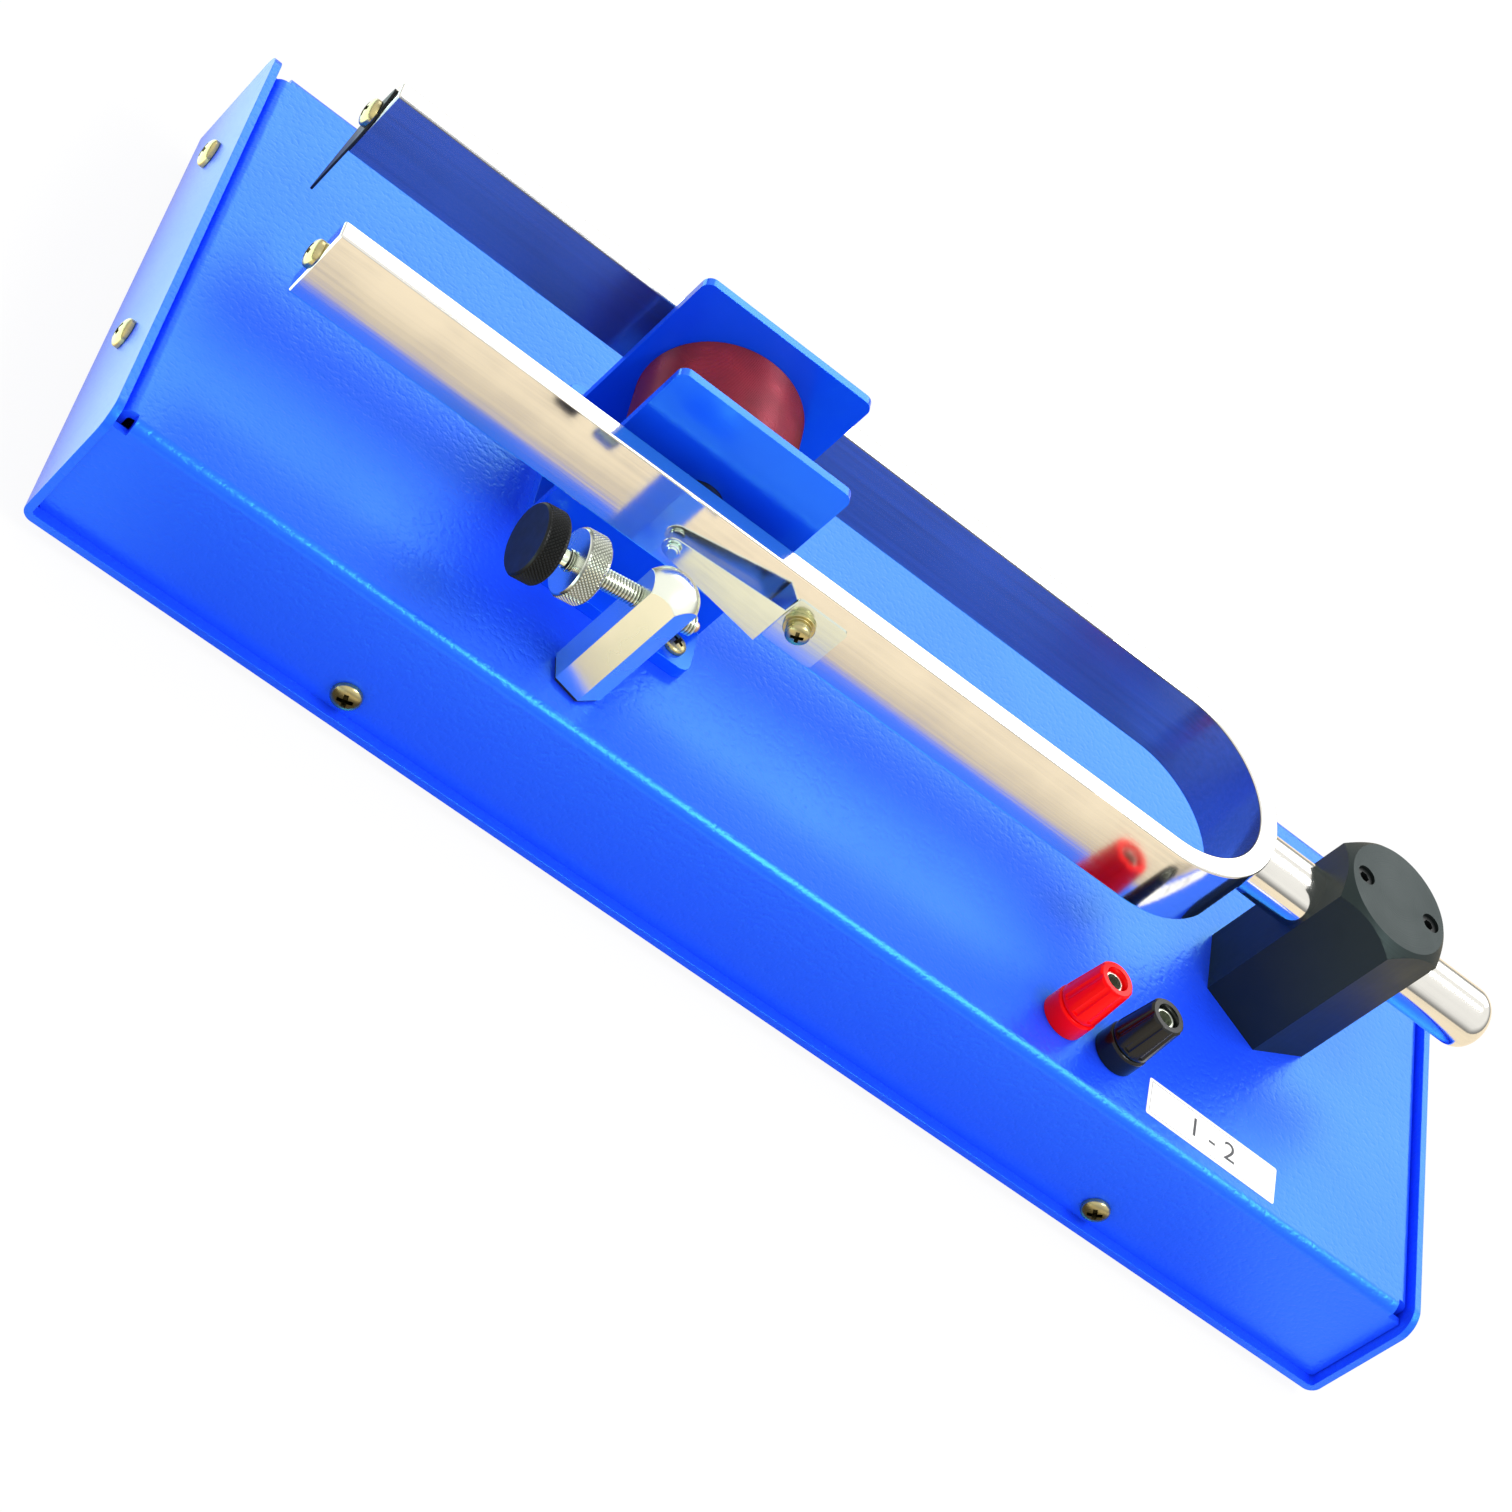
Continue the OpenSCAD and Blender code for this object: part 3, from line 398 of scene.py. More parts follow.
def knurled(radius: float, thickness: float, edge: float, pitch: float, depth: float) -> Piece:
    """Make a round knob about Z, its lower face at z = 0, with a raised diamond knurl on its rim.

    Args:
        radius: Radius over the knurl.
        thickness: Thickness of the knob.
        edge: Chamfer of its two rims.
        pitch: Width of one diamond.
        depth: Height of a diamond above its grooves.

    Returns:
        The knob.
    """
    columns = 2 * round(2 * math.pi * radius / pitch)
    rows = max(2, 2 * round((thickness - 2 * edge) / pitch))
    bpy.ops.mesh.primitive_cylinder_add(
        vertices=columns, radius=radius - depth, depth=thickness, location=(0, 0, thickness / 2)
    )
    piece = settle(bpy.context.object)
    with editing(piece, Pick.EDGES, lambda middle, way: abs(way.z) < 1 - ALONG):
        bpy.ops.mesh.bevel(offset=edge, segments=1, affect="EDGES")
    step = (thickness - 2 * edge) / rows
    with editing(piece, Pick.EDGES, lambda middle, way: abs(way.z) > ALONG):
        bpy.ops.mesh.subdivide(number_cuts=rows - 1)

    def raised(place: Vector) -> bool:
        """Tell the tops of the diamonds from the rest."""
        row = (place.z - edge) / step
        column = math.atan2(place.y, place.x) * columns / (2 * math.pi)
        inside = place.xy.length > radius - 1.5 * depth and 0.5 < row < rows - 0.5
        return inside and (round(row) + round(column)) % 2 == 1

    with editing(piece, Pick.VERTS, raised):
        grow = radius / (radius - depth)
        bpy.ops.transform.resize(value=(grow, grow, 1), center_override=(0, 0, 0))
    with editing(piece, Pick.FACES, lambda middle, normal: abs(normal.z) < 0.6):
        bpy.ops.mesh.quads_convert_to_tris(quad_method="SHORTEST_DIAGONAL")

    def grooved(place: Vector) -> float:
        """Give 1 between the diamonds."""
        on_rim = edge - NEAR < place.z < thickness - edge + NEAR
        return 1.0 if on_rim and radius - 1.5 * depth < place.xy.length < radius - 0.5 * depth else 0.0

    # The finish paints shade in the grooves between the diamonds
    return sunken(piece, Pick.VERTS, grooved)


def threaded(radius: float, length: float, pitch: float, depth: float) -> Piece:
    """Cut a right-hand V thread on a rod about Z, from z = 0 up.

    Args:
        radius: Radius over the crests.
        length: Length of the rod.
        pitch: Distance between two crests.
        depth: Depth of the grooves.

    Returns:
        The rod, flat and closed at both ends.
    """
    spare, flat, steps = 2, pitch / 8, 28
    low, root = -spare * pitch, radius - depth
    tooth = [(radius, 0), (radius, flat), (root, pitch / 2), (root, pitch / 2 + flat), (radius, pitch)]
    piece = profile_line([(r, low + rise) for r, rise in tooth])
    modified(
        piece, "SCREW", axis="Z", angle=2 * math.pi, screw_offset=pitch,
        iterations=math.ceil(length / pitch) + 2 * spare, steps=steps, render_steps=steps,
    )
    with editing(piece):
        bpy.ops.mesh.remove_doubles(threshold=WELD)
    for height, side in ((0.0, 1), (length, -1)):
        with editing(piece):
            bpy.ops.mesh.bisect(
                plane_co=(0, 0, height), plane_no=(0, 0, side), use_fill=True, clear_inner=True
            )
    with editing(piece):
        bpy.ops.mesh.normals_make_consistent(inside=False)
    # The finish paints shade towards the thread's roots
    return sunken(piece, Pick.VERTS, lambda place: share((radius - place.xy.length) / depth))


def along(middle: Vector, axis: Vector) -> Matrix:
    """Give the place of a piece modelled about Z whose axis goes another way.

    Args:
        middle: Where its origin goes.
        axis: Where its Z axis points.

    Returns:
        The place.
    """
    return Matrix.Translation(middle) @ axis.to_track_quat("Z", "Y").to_matrix().to_4x4()


# Finishes


class Graph:
    """A node tree being wired."""

    def __init__(self, tree: bpy.types.NodeTree) -> None:
        """Keep the tree."""
        self.tree = tree

    def add(
        self, kind: str, inputs: dict[str | int, object] | None = None, **settings: object
    ) -> bpy.types.Node:
        """Add a node.

        Args:
            kind: The node's type.
            inputs: What its input sockets get, each another node's output or a value.
            **settings: Its settings.

        Returns:
            The node.
        """
        node = self.tree.nodes.new(kind)
        for key, value in settings.items():
            setattr(node, key, value)
        for key, value in (inputs or {}).items():
            if isinstance(value, Socket):
                self.tree.links.new(value, node.inputs[key])
            else:
                node.inputs[key].default_value = value
        return node

    def math(self, operation: str, *inputs: object) -> Socket:
        """Add a Math node.

        Args:
            operation: What it does.
            *inputs: Its inputs, sockets or numbers.

        Returns:
            Its output.
        """
        return self.add("ShaderNodeMath", dict(enumerate(inputs)), operation=operation).outputs[0]

    def between(self, mask: Socket, low: float, high: float) -> Socket:
        """Spread a mask from 0 to 1 over two values.

        Args:
            mask: The mask.
            low: Value at 0.
            high: Value at 1.

        Returns:
            The value's socket.
        """
        return self.math("MULTIPLY_ADD", mask, high - low, low)

    def blend(self, mask: Socket, low: Colour | Socket, high: Colour | Socket) -> Socket:
        """Blend two colours by a mask.

        Args:
            mask: The mask.
            low: Colour at 0.
            high: Colour at 1.

        Returns:
            The colour's socket.
        """
        low, high = (side if isinstance(side, Socket) else (*side, 1) for side in (low, high))
        return self.add("ShaderNodeMix", {0: mask, 6: low, 7: high}, data_type="RGBA").outputs[2]

    def spread(self, place: Socket, start: float, end: float, low: float, high: float) -> Socket:
        """Ease a value from one level to another along a way.

        Args:
            place: Where along the way.
            start: Where the value starts to change.
            end: Where it is changed.
            low: Its level at the start.
            high: Its level at the end.

        Returns:
            The value's socket.
        """
        levels = {"Value": place, "From Min": start, "From Max": end, "To Min": low, "To Max": high}
        ramp = self.add("ShaderNodeMapRange", levels, interpolation_type="SMOOTHSTEP")
        return ramp.outputs["Result"]

    def noise(self, place: Socket, scale: float | Socket, detail: float = 2.0) -> Socket:
        """Add a noise texture.

        Args:
            place: Where it reads.
            scale: Its scale.
            detail: Its detail.

        Returns:
            Its value.
        """
        inputs = {"Vector": place, "Scale": scale, "Detail": detail}
        return self.add("ShaderNodeTexNoise", inputs).outputs["Fac"]

    def effect(self, effect: Effect, place: Socket, **values: object) -> Socket:
        """Place a shared effect with its own values.

        Args:
            effect: Which effect.
            place: Object coordinates.
            **values: Its named inputs.

        Returns:
            Its output.
        """
        tree = bpy.data.node_groups[effect.value]
        return self.add("ShaderNodeGroup", {"Place": place, **values}, node_tree=tree).outputs[0]


def blank(owner: bpy.types.Material | bpy.types.World) -> Graph:
    """Empty the node tree of a material or world, and start its graph."""
    owner.use_nodes = True
    owner.node_tree.nodes.clear()
    return Graph(owner.node_tree)


class Effects:
    """Builds the shared effects once."""

    def build(self) -> None:
        """Build every effect's node group."""
        for effect in (self.mottle, self.stipple, self.streaks, self.turning):
            effect()

    def group(self, effect: Effect, **inputs: str) -> tuple[Graph, dict[str, Socket]]:
        """Start a node group.

        Args:
            effect: Which effect it is.
            **inputs: The kinds of its named inputs.

        Returns:
            Its graph and its inputs.
        """
        tree = bpy.data.node_groups.new(effect.value, "ShaderNodeTree")
        for name, kind in {"Place": "Vector", **inputs}.items():
            tree.interface.new_socket(name, in_out="INPUT", socket_type=f"NodeSocket{kind}")
        tree.interface.new_socket("Value", in_out="OUTPUT", socket_type="NodeSocketFloat")
        graph = Graph(tree)
        start = graph.add("NodeGroupInput")
        return graph, {socket.name: socket for socket in start.outputs if socket.name}

    def mottle(self) -> None:
        """Soft patches, as of uneven polish, handling or flow: 0 to 1."""
        graph, given = self.group(Effect.MOTTLE, Scale="Float", Contrast="Float")
        cloud = graph.math("SUBTRACT", graph.noise(given["Place"], given["Scale"], 3.0), 0.5)
        patches = graph.math("MULTIPLY_ADD", cloud, given["Contrast"], 0.5)
        kept = graph.add("ShaderNodeClamp", {0: patches})
        graph.add("NodeGroupOutput", {0: kept.outputs[0]})

    def stipple(self) -> None:
        """The rounded grain of powder coat, rubber or moulded plastic, as a height."""
        graph, given = self.group(Effect.STIPPLE, Scale="Float")
        finer, weight, crest, ease = 2.6, 0.35, 0.72, 0.2
        coarse = graph.noise(given["Place"], given["Scale"], 1.0)
        fine = graph.noise(given["Place"], graph.math("MULTIPLY", given["Scale"], finer))
        mixed = graph.math("MULTIPLY_ADD", fine, weight, coarse)
        graph.add("NodeGroupOutput", {0: graph.math("SMOOTH_MIN", mixed, crest, ease)})

    def streaks(self) -> None:
        """Drawn-out lines of a brushed, rolled or polished surface, along the shorter scale: 0 to 1."""
        graph, given = self.group(Effect.STREAKS, Stretch="Vector")
        drawn = {0: given["Place"], 1: given["Stretch"]}
        drawn = graph.add("ShaderNodeVectorMath", drawn, operation="MULTIPLY").outputs[0]
        contrast = 1.6
        lines = graph.math("MULTIPLY_ADD", graph.noise(drawn, 1.0, 5.0), contrast, (1 - contrast) / 2)
        graph.add("NodeGroupOutput", {0: lines})

    def turning(self) -> None:
        """Fine rings about an axis along Z, as a lathe tool leaves: 0 to 1."""
        graph, given = self.group(Effect.TURNING, Centre="Vector", Scale="Float")
        offset = {0: given["Place"], 1: given["Centre"]}
        offset = graph.add("ShaderNodeVectorMath", offset, operation="SUBTRACT").outputs[0]
        level = {0: offset, 1: (1, 1, 0)}
        level = graph.add("ShaderNodeVectorMath", level, operation="MULTIPLY").outputs[0]
        reach = graph.add("ShaderNodeVectorMath", {0: level}, operation="LENGTH").outputs["Value"]
        along_cut = graph.math("MULTIPLY", reach, given["Scale"])
        rings = {"W": along_cut, "Scale": 1.0, "Detail": 3.0}
        rings = graph.add("ShaderNodeTexNoise", rings, noise_dimensions="1D").outputs["Fac"]
        graph.add("NodeGroupOutput", {0: rings})


@dataclass(frozen=True)
class Finish:
    """A finish: two colours that patches blend, a roughness that follows them, and painted shade in grooves
    and recesses.

    Args:
        colour: Main colour.
        tint: Colour of the patches.
        roughness: Roughness between and on the patches.
        metallic: 1 for bare or plated metal.
        patch_scale: Patches per metre.
        contrast: How hard the patches' edges are.
        relief: Depth of the surface's grain, in metres.
        grain_scale: Grains per metre.
        mirror: Strength of its reflections.
        mirror_tint: Colour of its reflections, but for glancing ones.
        groove_shade: Painted shade in grooves and recesses: brightness of a groove's floor to the tint, and
            how strongly it is painted dark.
    """

    colour: Colour
    tint: Colour
    roughness: Pair
    metallic: float = 0.0
    patch_scale: float = 60.0
    contrast: float = 2.5
    relief: float = 0.00002
    grain_scale: float = 900.0
    mirror: float = 0.5
    mirror_tint: Colour = (1.0, 1.0, 1.0)
    groove_shade: Pair = (0.14, 0.85)

    def grain(self, graph: Graph, place: Socket) -> Socket:
        """Give the height of the surface's grain."""
        return graph.effect(Effect.STIPPLE, place, Scale=self.grain_scale)

    def tone(self, graph: Graph, place: Socket) -> Socket:
        """Give the mask that colour and roughness follow."""
        return graph.effect(Effect.MOTTLE, place, Scale=self.patch_scale, Contrast=self.contrast)

    def build(self, name: str) -> bpy.types.Material:
        """Build the material.

        Args:
            name: Its name.

        Returns:
            The material.
        """
        material = bpy.data.materials.new(name)
        graph = blank(material)
        place = graph.add("ShaderNodeTexCoord").outputs["Object"]
        mask = self.tone(graph, place)
        # Painted shade: corners and faces marked sunken (knurl grooves, thread roots, screw recesses,
        # valleys between turns of wire) blend towards a dark copy of the tint
        groove = graph.add("ShaderNodeAttribute", attribute_name="sunken").outputs["Fac"]
        groove_shaded = graph.math("MULTIPLY", groove, self.groove_shade[1])
        dark = tuple(self.groove_shade[0] * part for part in self.tint)
        relief = {"Height": self.grain(graph, place), "Distance": self.relief, "Strength": 1.0}
        shader = graph.add(
            "ShaderNodeBsdfPrincipled",
            {
                "Base Color": graph.blend(groove_shaded, graph.blend(mask, self.colour, self.tint), dark),
                "Metallic": self.metallic,
                "Roughness": graph.between(mask, *self.roughness),
                "Normal": graph.add("ShaderNodeBump", relief).outputs[0],
                "Specular IOR Level": self.mirror,
                "Specular Tint": (*self.mirror_tint, 1),
            },
        )
        graph.add("ShaderNodeOutputMaterial", {0: shader.outputs[0]})
        return material


@dataclass(frozen=True)
class DrawnMetal(Finish):
    """Metal polished or brushed along one way.

    Args:
        stretch: Lines per metre along X, Y and Z.
    """

    stretch: Spot = (12.0, 900.0, 900.0)

    def grain(self, graph: Graph, place: Socket) -> Socket:
        """Give the lines' height."""
        return graph.effect(Effect.STREAKS, place, Stretch=self.stretch)

    def tone(self, graph: Graph, place: Socket) -> Socket:
        """Give the lines, broken up by patches."""
        lines = graph.effect(Effect.STREAKS, place, Stretch=self.stretch)
        patches = graph.effect(Effect.MOTTLE, place, Scale=self.patch_scale, Contrast=self.contrast)
        return graph.math("MULTIPLY", lines, patches)


@dataclass(frozen=True)
class TurnedMetal(Finish):
    """Metal with the rings of a lathe tool on its upper faces.

    Args:
        centre: A point on the axis.
        rings: Rings per metre.
    """

    centre: Spot = (0.0, 0.0, 0.0)
    rings: float = 2600.0

    def grain(self, graph: Graph, place: Socket) -> Socket:
        """Give the rings' height."""
        return graph.effect(Effect.TURNING, place, Centre=self.centre, Scale=self.rings)


@dataclass(frozen=True)
class Palette:
    """Every finish of the object.

    Args:
        holder_axis: A point on the holder's axis, about which its end was turned.
    """

    holder_axis: Vector

    def build(self) -> dict[str, bpy.types.Material]:
        """Build the materials.

        Returns:
            The materials by name.
        """
        Effects().build()
        blue_sheen = (0.11, 0.9, 1.0)
        finishes = {
            Slot.BLUE_PAINT: Finish(
                (0.012, 0.066, 1.0), (0.009, 0.056, 0.97), (0.28, 0.36), patch_scale=14, relief=0.00018,
                grain_scale=700, mirror=1.5, mirror_tint=blue_sheen,
            ),
            Slot.YELLOW_ZINC: Finish(
                (0.66, 0.56, 0.24), (0.46, 0.42, 0.24), (0.22, 0.34), 1.0, patch_scale=320
            ),
            Slot.FOOT_RUBBER: Finish(
                (0.018, 0.018, 0.019), (0.032, 0.031, 0.03), (0.7, 0.85), relief=0.00008
            ),
            Slot.BLACK_COAT: TurnedMetal(
                (0.005, 0.007, 0.007), (0.008, 0.010, 0.010), (0.42, 0.52), patch_scale=90,
                relief=0.00002, mirror=0.4, mirror_tint=(0.7, 1.0, 1.0), centre=tuple(self.holder_axis),
            ),
            Slot.DARK_STEEL: Finish(
                (0.013, 0.016, 0.016), (0.009, 0.011, 0.012), (0.40, 0.52), 0.5, patch_scale=260
            ),
            Slot.FORK_STEEL: DrawnMetal(
                (0.88, 0.87, 0.82), (0.72, 0.71, 0.68), (0.09, 0.17), 1.0, relief=0.000005
            ),
            Slot.TINNED: DrawnMetal(
                (0.84, 0.94, 0.89), (0.72, 0.82, 0.78), (0.14, 0.24), 1.0, relief=0.000006
            ),
            Slot.NICKEL_PLATE: Finish(
                (0.96, 1.0, 0.90), (0.90, 0.96, 0.82), (0.2, 0.3), 1.0, relief=0.000008
            ),
            Slot.INSULATOR: Finish((0.012, 0.012, 0.013), (0.022, 0.021, 0.02), (0.55, 0.7)),
            Slot.COPPER_TIP: Finish(
                (0.72, 0.52, 0.36), (0.55, 0.34, 0.2), (0.25, 0.4), 1.0, patch_scale=900
            ),
            Slot.BLUE_PLASTIC: Finish(
                (0.004, 0.085, 1.0), (0.002, 0.055, 0.97), (0.16, 0.26), patch_scale=30, relief=0.000012,
                mirror=1.5, mirror_tint=blue_sheen,
            ),
            Slot.ENAMEL_WIRE: Finish(
                (0.26, 0.012, 0.030), (0.15, 0.007, 0.018), (0.24, 0.36), 0.2, patch_scale=90, mirror=0.7,
                mirror_tint=(1.0, 0.55, 0.6),
            ),
            Slot.CORE_IRON: Finish(
                (0.10, 0.10, 0.105), (0.05, 0.05, 0.052), (0.35, 0.5), 1.0, patch_scale=240
            ),
            Slot.RED_PLASTIC: Finish(
                (0.98, 0.001, 0.003), (0.90, 0.001, 0.002), (0.14, 0.24), relief=0.000012,
                mirror_tint=(1.0, 0.16, 0.16),
            ),
            Slot.BLACK_PLASTIC: Finish(
                (0.005, 0.006, 0.006), (0.008, 0.009, 0.009), (0.14, 0.24), relief=0.000012, mirror=0.32
            ),
            Slot.BRASS_INSERT: Finish(
                (0.80, 0.60, 0.27), (0.66, 0.48, 0.20), (0.2, 0.32), 1.0, patch_scale=400
            ),
            Part.INNER_STEEL: DrawnMetal(
                (0.42, 0.43, 0.46), (0.18, 0.19, 0.19), (0.18, 0.32), 0.94, patch_scale=26, contrast=1.4,
                relief=0.000004,
            ),
            Part.LABEL_PAPER: Finish(
                (0.96, 0.96, 0.96), (0.93, 0.93, 0.93), (0.42, 0.5), relief=0.000004
            ),
            Part.LABEL_INK: Finish((0.05, 0.055, 0.06), (0.09, 0.09, 0.10), (0.5, 0.6), relief=0.000002),
        }
        return {kind.value: finish.build(kind.value) for kind, finish in finishes.items()}


# Sub-assemblies


@dataclass
class SubAssembly:
    """Pieces that belong together, and the steps they share.

    Args:
        frame: The loaded frame.
        materials: The finishes by name.
    """

    frame: dict
    materials: dict[str, bpy.types.Material]

    def body_of(self, node: str) -> str:
        """Name the body that a node belongs to."""
        bodies = self.frame["record"]["behaviour"]["bodies"]
        return next(body for body, nodes in bodies.items() if node in nodes)

    def slot_of(self, node: str) -> str:
        """Name the material slot of a node."""
        parts = self.frame["record"]["subparts"]
        return next(part["material_slot"] for part in parts if part["node"] == node)

    def joint(self, name: str) -> tuple[Vector, Vector]:
        """Give a joint's place and axis."""
        joint = next(joint for joint in self.frame["joints"] if joint["name"] == name)
        return Vector(joint["pos_m"]), Vector(joint["axis"]).normalized()

    def finish(self, piece: Piece, name: str, *nodes: str, replaces: bool = True) -> Piece:
        """Name a piece, dress it and hang it on the body of the nodes that it stands for.

        Args:
            piece: The piece, in its place.
            name: Its name.
            *nodes: The CAD nodes that it belongs to.
            replaces: Whether it stands for them.

        Returns:
            The piece.
        """
        piece.name = name
        piece.data.name = name
        slot = self.slot_of(nodes[0])
        if not piece.data.materials:
            piece.data.materials.append(self.materials[slot])
        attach(piece, self.body_of(nodes[0]))
        if replaces:
            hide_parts(*nodes)
        LOG.info("%s: %d faces on %s", name, len(piece.data.polygons), self.body_of(nodes[0]))
        return piece

    def dress(self, *nodes: str) -> None:
        """Give CAD nodes that stay as they are their finishes."""
        for node in nodes:
            for slot in self.frame["nodes"][node].material_slots:
                slot.material = self.materials[self.slot_of(node)]

    def welded(self, node: str) -> Piece:
        """Copy a CAD node and weld its loose triangles into whole faces.

        Args:
            node: The node.

        Returns:
            The copy, with no finish yet.
        """
        copy = bpy.data.objects.new(node, self.frame["nodes"][node].data.copy())
        bpy.context.collection.objects.link(copy)
        copy.data.materials.clear()
        with editing(copy):
            bpy.ops.mesh.customdata_custom_splitnormals_clear()
            bpy.ops.mesh.remove_doubles(threshold=2 * WELD)
            bpy.ops.mesh.dissolve_limited(angle_limit=math.radians(0.6))
        return copy

    def eased(self, node: str, edge: float, segments: int = 2, angle: float = 32.0) -> Piece:
        """Stand in for a CAD node with a copy whose edges are rounded.

        Args:
            node: The node.
            edge: Width of the rounding.
            segments: Steps across it.
            angle: Least angle of a rounded edge, in degrees.

        Returns:
            The finished piece.
        """
        piece = self.welded(node)
        if edge:
            round_edges(piece, edge, segments, angle)
        return self.finish(shade(piece, angle + 4), f"{node}_piece", node)

    def solids(self, node: str) -> list[tuple[Vector, Vector]]:
        """Find the boxes of a node's separate solids.

        Args:
            node: The node.

        Returns:
            The lowest and highest corner of each.
        """
        copy = self.welded(node)
        select_only(copy)
        bpy.ops.mesh.separate(type="LOOSE")
        boxes = []
        for part in list(bpy.context.selected_objects):
            columns = list(zip(*(vert.co for vert in part.data.vertices)))
            boxes.append((Vector(map(min, columns)), Vector(map(max, columns))))
            bpy.data.objects.remove(part)
        return sorted(boxes, key=lambda box: tuple(box[0]))


@dataclass
class PanScrews(SubAssembly):
    """Pan-head screws with cross recesses, for every node that holds some.

    Args:
        height_share: Height of a head to its diameter, as in the CAD.
        shank_share: Diameter of a shank to its head's.
        seat_share: Radius of a head's seat to the head's, and height of its lower chamfer to the head's.
        rim_share: Height of a head's rim to that of its middle.
        recess_share: Length and width of a bar of the recess to the head's diameter.
        taper: Length and width of the recess's floor to those of its mouth.
        steps: Faces round a screw.
    """

    height_share: float = 0.34
    shank_share: float = 0.5
    seat_share: Pair = (0.94, 0.1)
    rim_share: float = 0.42
    recess_share: Pair = (0.62, 0.17)
    taper: Pair = (0.55, 0.75)
    steps: int = 48

    def screw(self, head_d: float, shank_l: float) -> Piece:
        """Model one screw about Z, its seat at z = 0.

        Args:
            head_d: Diameter of its head.
            shank_l: Length of its shank.

        Returns:
            The screw.
        """
        r, h = head_d / 2, head_d * self.height_share
        s, steps, crown = r * self.shank_share, 7, 1 - self.rim_share
        seat, chamfer = self.seat_share
        shank = [(0.0, -shank_l), (s, -shank_l), (s, 0.0), (r * seat, 0.0), (r, h * chamfer)]
        angles = [math.pi / 2 * step / steps for step in range(steps)]
        dome = [(r * math.cos(a), h * (self.rim_share + crown * math.sin(a))) for a in angles]
        piece = turned([*shank, *dome, (0.0, h)], self.steps)
        for turn in (0.0, math.pi / 2):
            carve(piece, self.wing(head_d, h, turn))
        margin, mouth = 0.06, 0.7

        def recessed(place: Vector) -> float:
            """Give 1 inside the recess: under the dome, near the axis."""
            reach = min(1.0, place.xy.length / r)
            under = h * (self.rim_share - margin + crown * math.sqrt(1 - reach * reach))
            return float(reach < mouth and 0 < place.z < under)

        # The finish paints shade in the cross recess
        return shade(sunken(piece, Pick.FACES, recessed), 30)

    def wing(self, head_d: float, h: float, turn: float) -> Piece:
        """Model one of the two tapered bars that cut the recess.

        Args:
            head_d: Diameter of the head.
            h: Height of the head.
            turn: Which way it lies.

        Returns:
            The bar.
        """
        length, width = (head_d * side for side in self.recess_share)
        bar = block((length, width, h * 1.1), (0, 0, h * 0.75))
        with editing(bar, Pick.VERTS, lambda place: place.z < h * 0.6):
            bpy.ops.transform.resize(value=(*self.taper, 1), center_override=(0, 0, h * 0.3))
        return settle(bar, Matrix.Rotation(turn, 4, "Z"))

    def set_of(self, node: str, axes: Callable[[Vector], Vector], turns: tuple[float, ...]) -> None:
        """Put a screw where each solid of a node is.

        Args:
            node: The node.
            axes: The way a screw's head faces, from the middle of its solid.
            turns: The angle of each recess, in degrees.
        """
        heads = []
        for index, (low, high) in enumerate(self.solids(node)):
            middle, span = (low + high) / 2, high - low
            axis = axes(middle)
            across = Vector(1 - abs(a) for a in axis)
            head_d = max(span[i] for i in range(3) if across[i] > 0.5)
            reach = abs(span.dot(axis))
            h = head_d * self.height_share
            seat = middle + axis * (reach / 2 - h)
            turn = Matrix.Rotation(math.radians(turns[index % len(turns)]), 4, "Z")
            heads.append(settle(self.screw(head_d, reach - h), along(seat, axis) @ turn))
        self.finish(join(heads), f"{node}_piece", node)

    def build(self) -> None:
        """Build every pan-head screw."""
        self.set_of("side_screws", lambda m: Vector((0, math.copysign(1, m.y), 0)), (20, 50, 35, 10))
        self.set_of("end_screws", lambda m: Vector((math.copysign(1, m.x), 0, 0)), (15, 40))
        self.set_of("near_end_screw", lambda m: Vector((-1, 0, 0)), (30,))
        self.set_of("far_end_screw", lambda m: Vector((-1, 0, 0)), (55,))
        self.set_of("spring_screw", lambda m: Vector((0, -1, 0)), (28,))
        self.set_of("bobbin_screws", lambda m: Vector((0, 0, 1)), (10, 35, 60, 80))


@dataclass
class SheetBase(SubAssembly):
    """The folded tray and cover, with what holds them.

    Args:
        sheet_edge: Rounding of the powder-coated sheet's cut edges.
        foot_edge: Rounding of the rubber feet.
    """

    sheet_edge: float = 0.00035
    foot_edge: float = 0.0004

    def build(self) -> None:
        """Build the base."""
        self.eased("base_tray", self.sheet_edge, 3)
        self.eased("top_cover", self.sheet_edge, 3)
        self.eased("rubber_feet", self.foot_edge)
        self.dress("tray_tabs", "end_nuts")


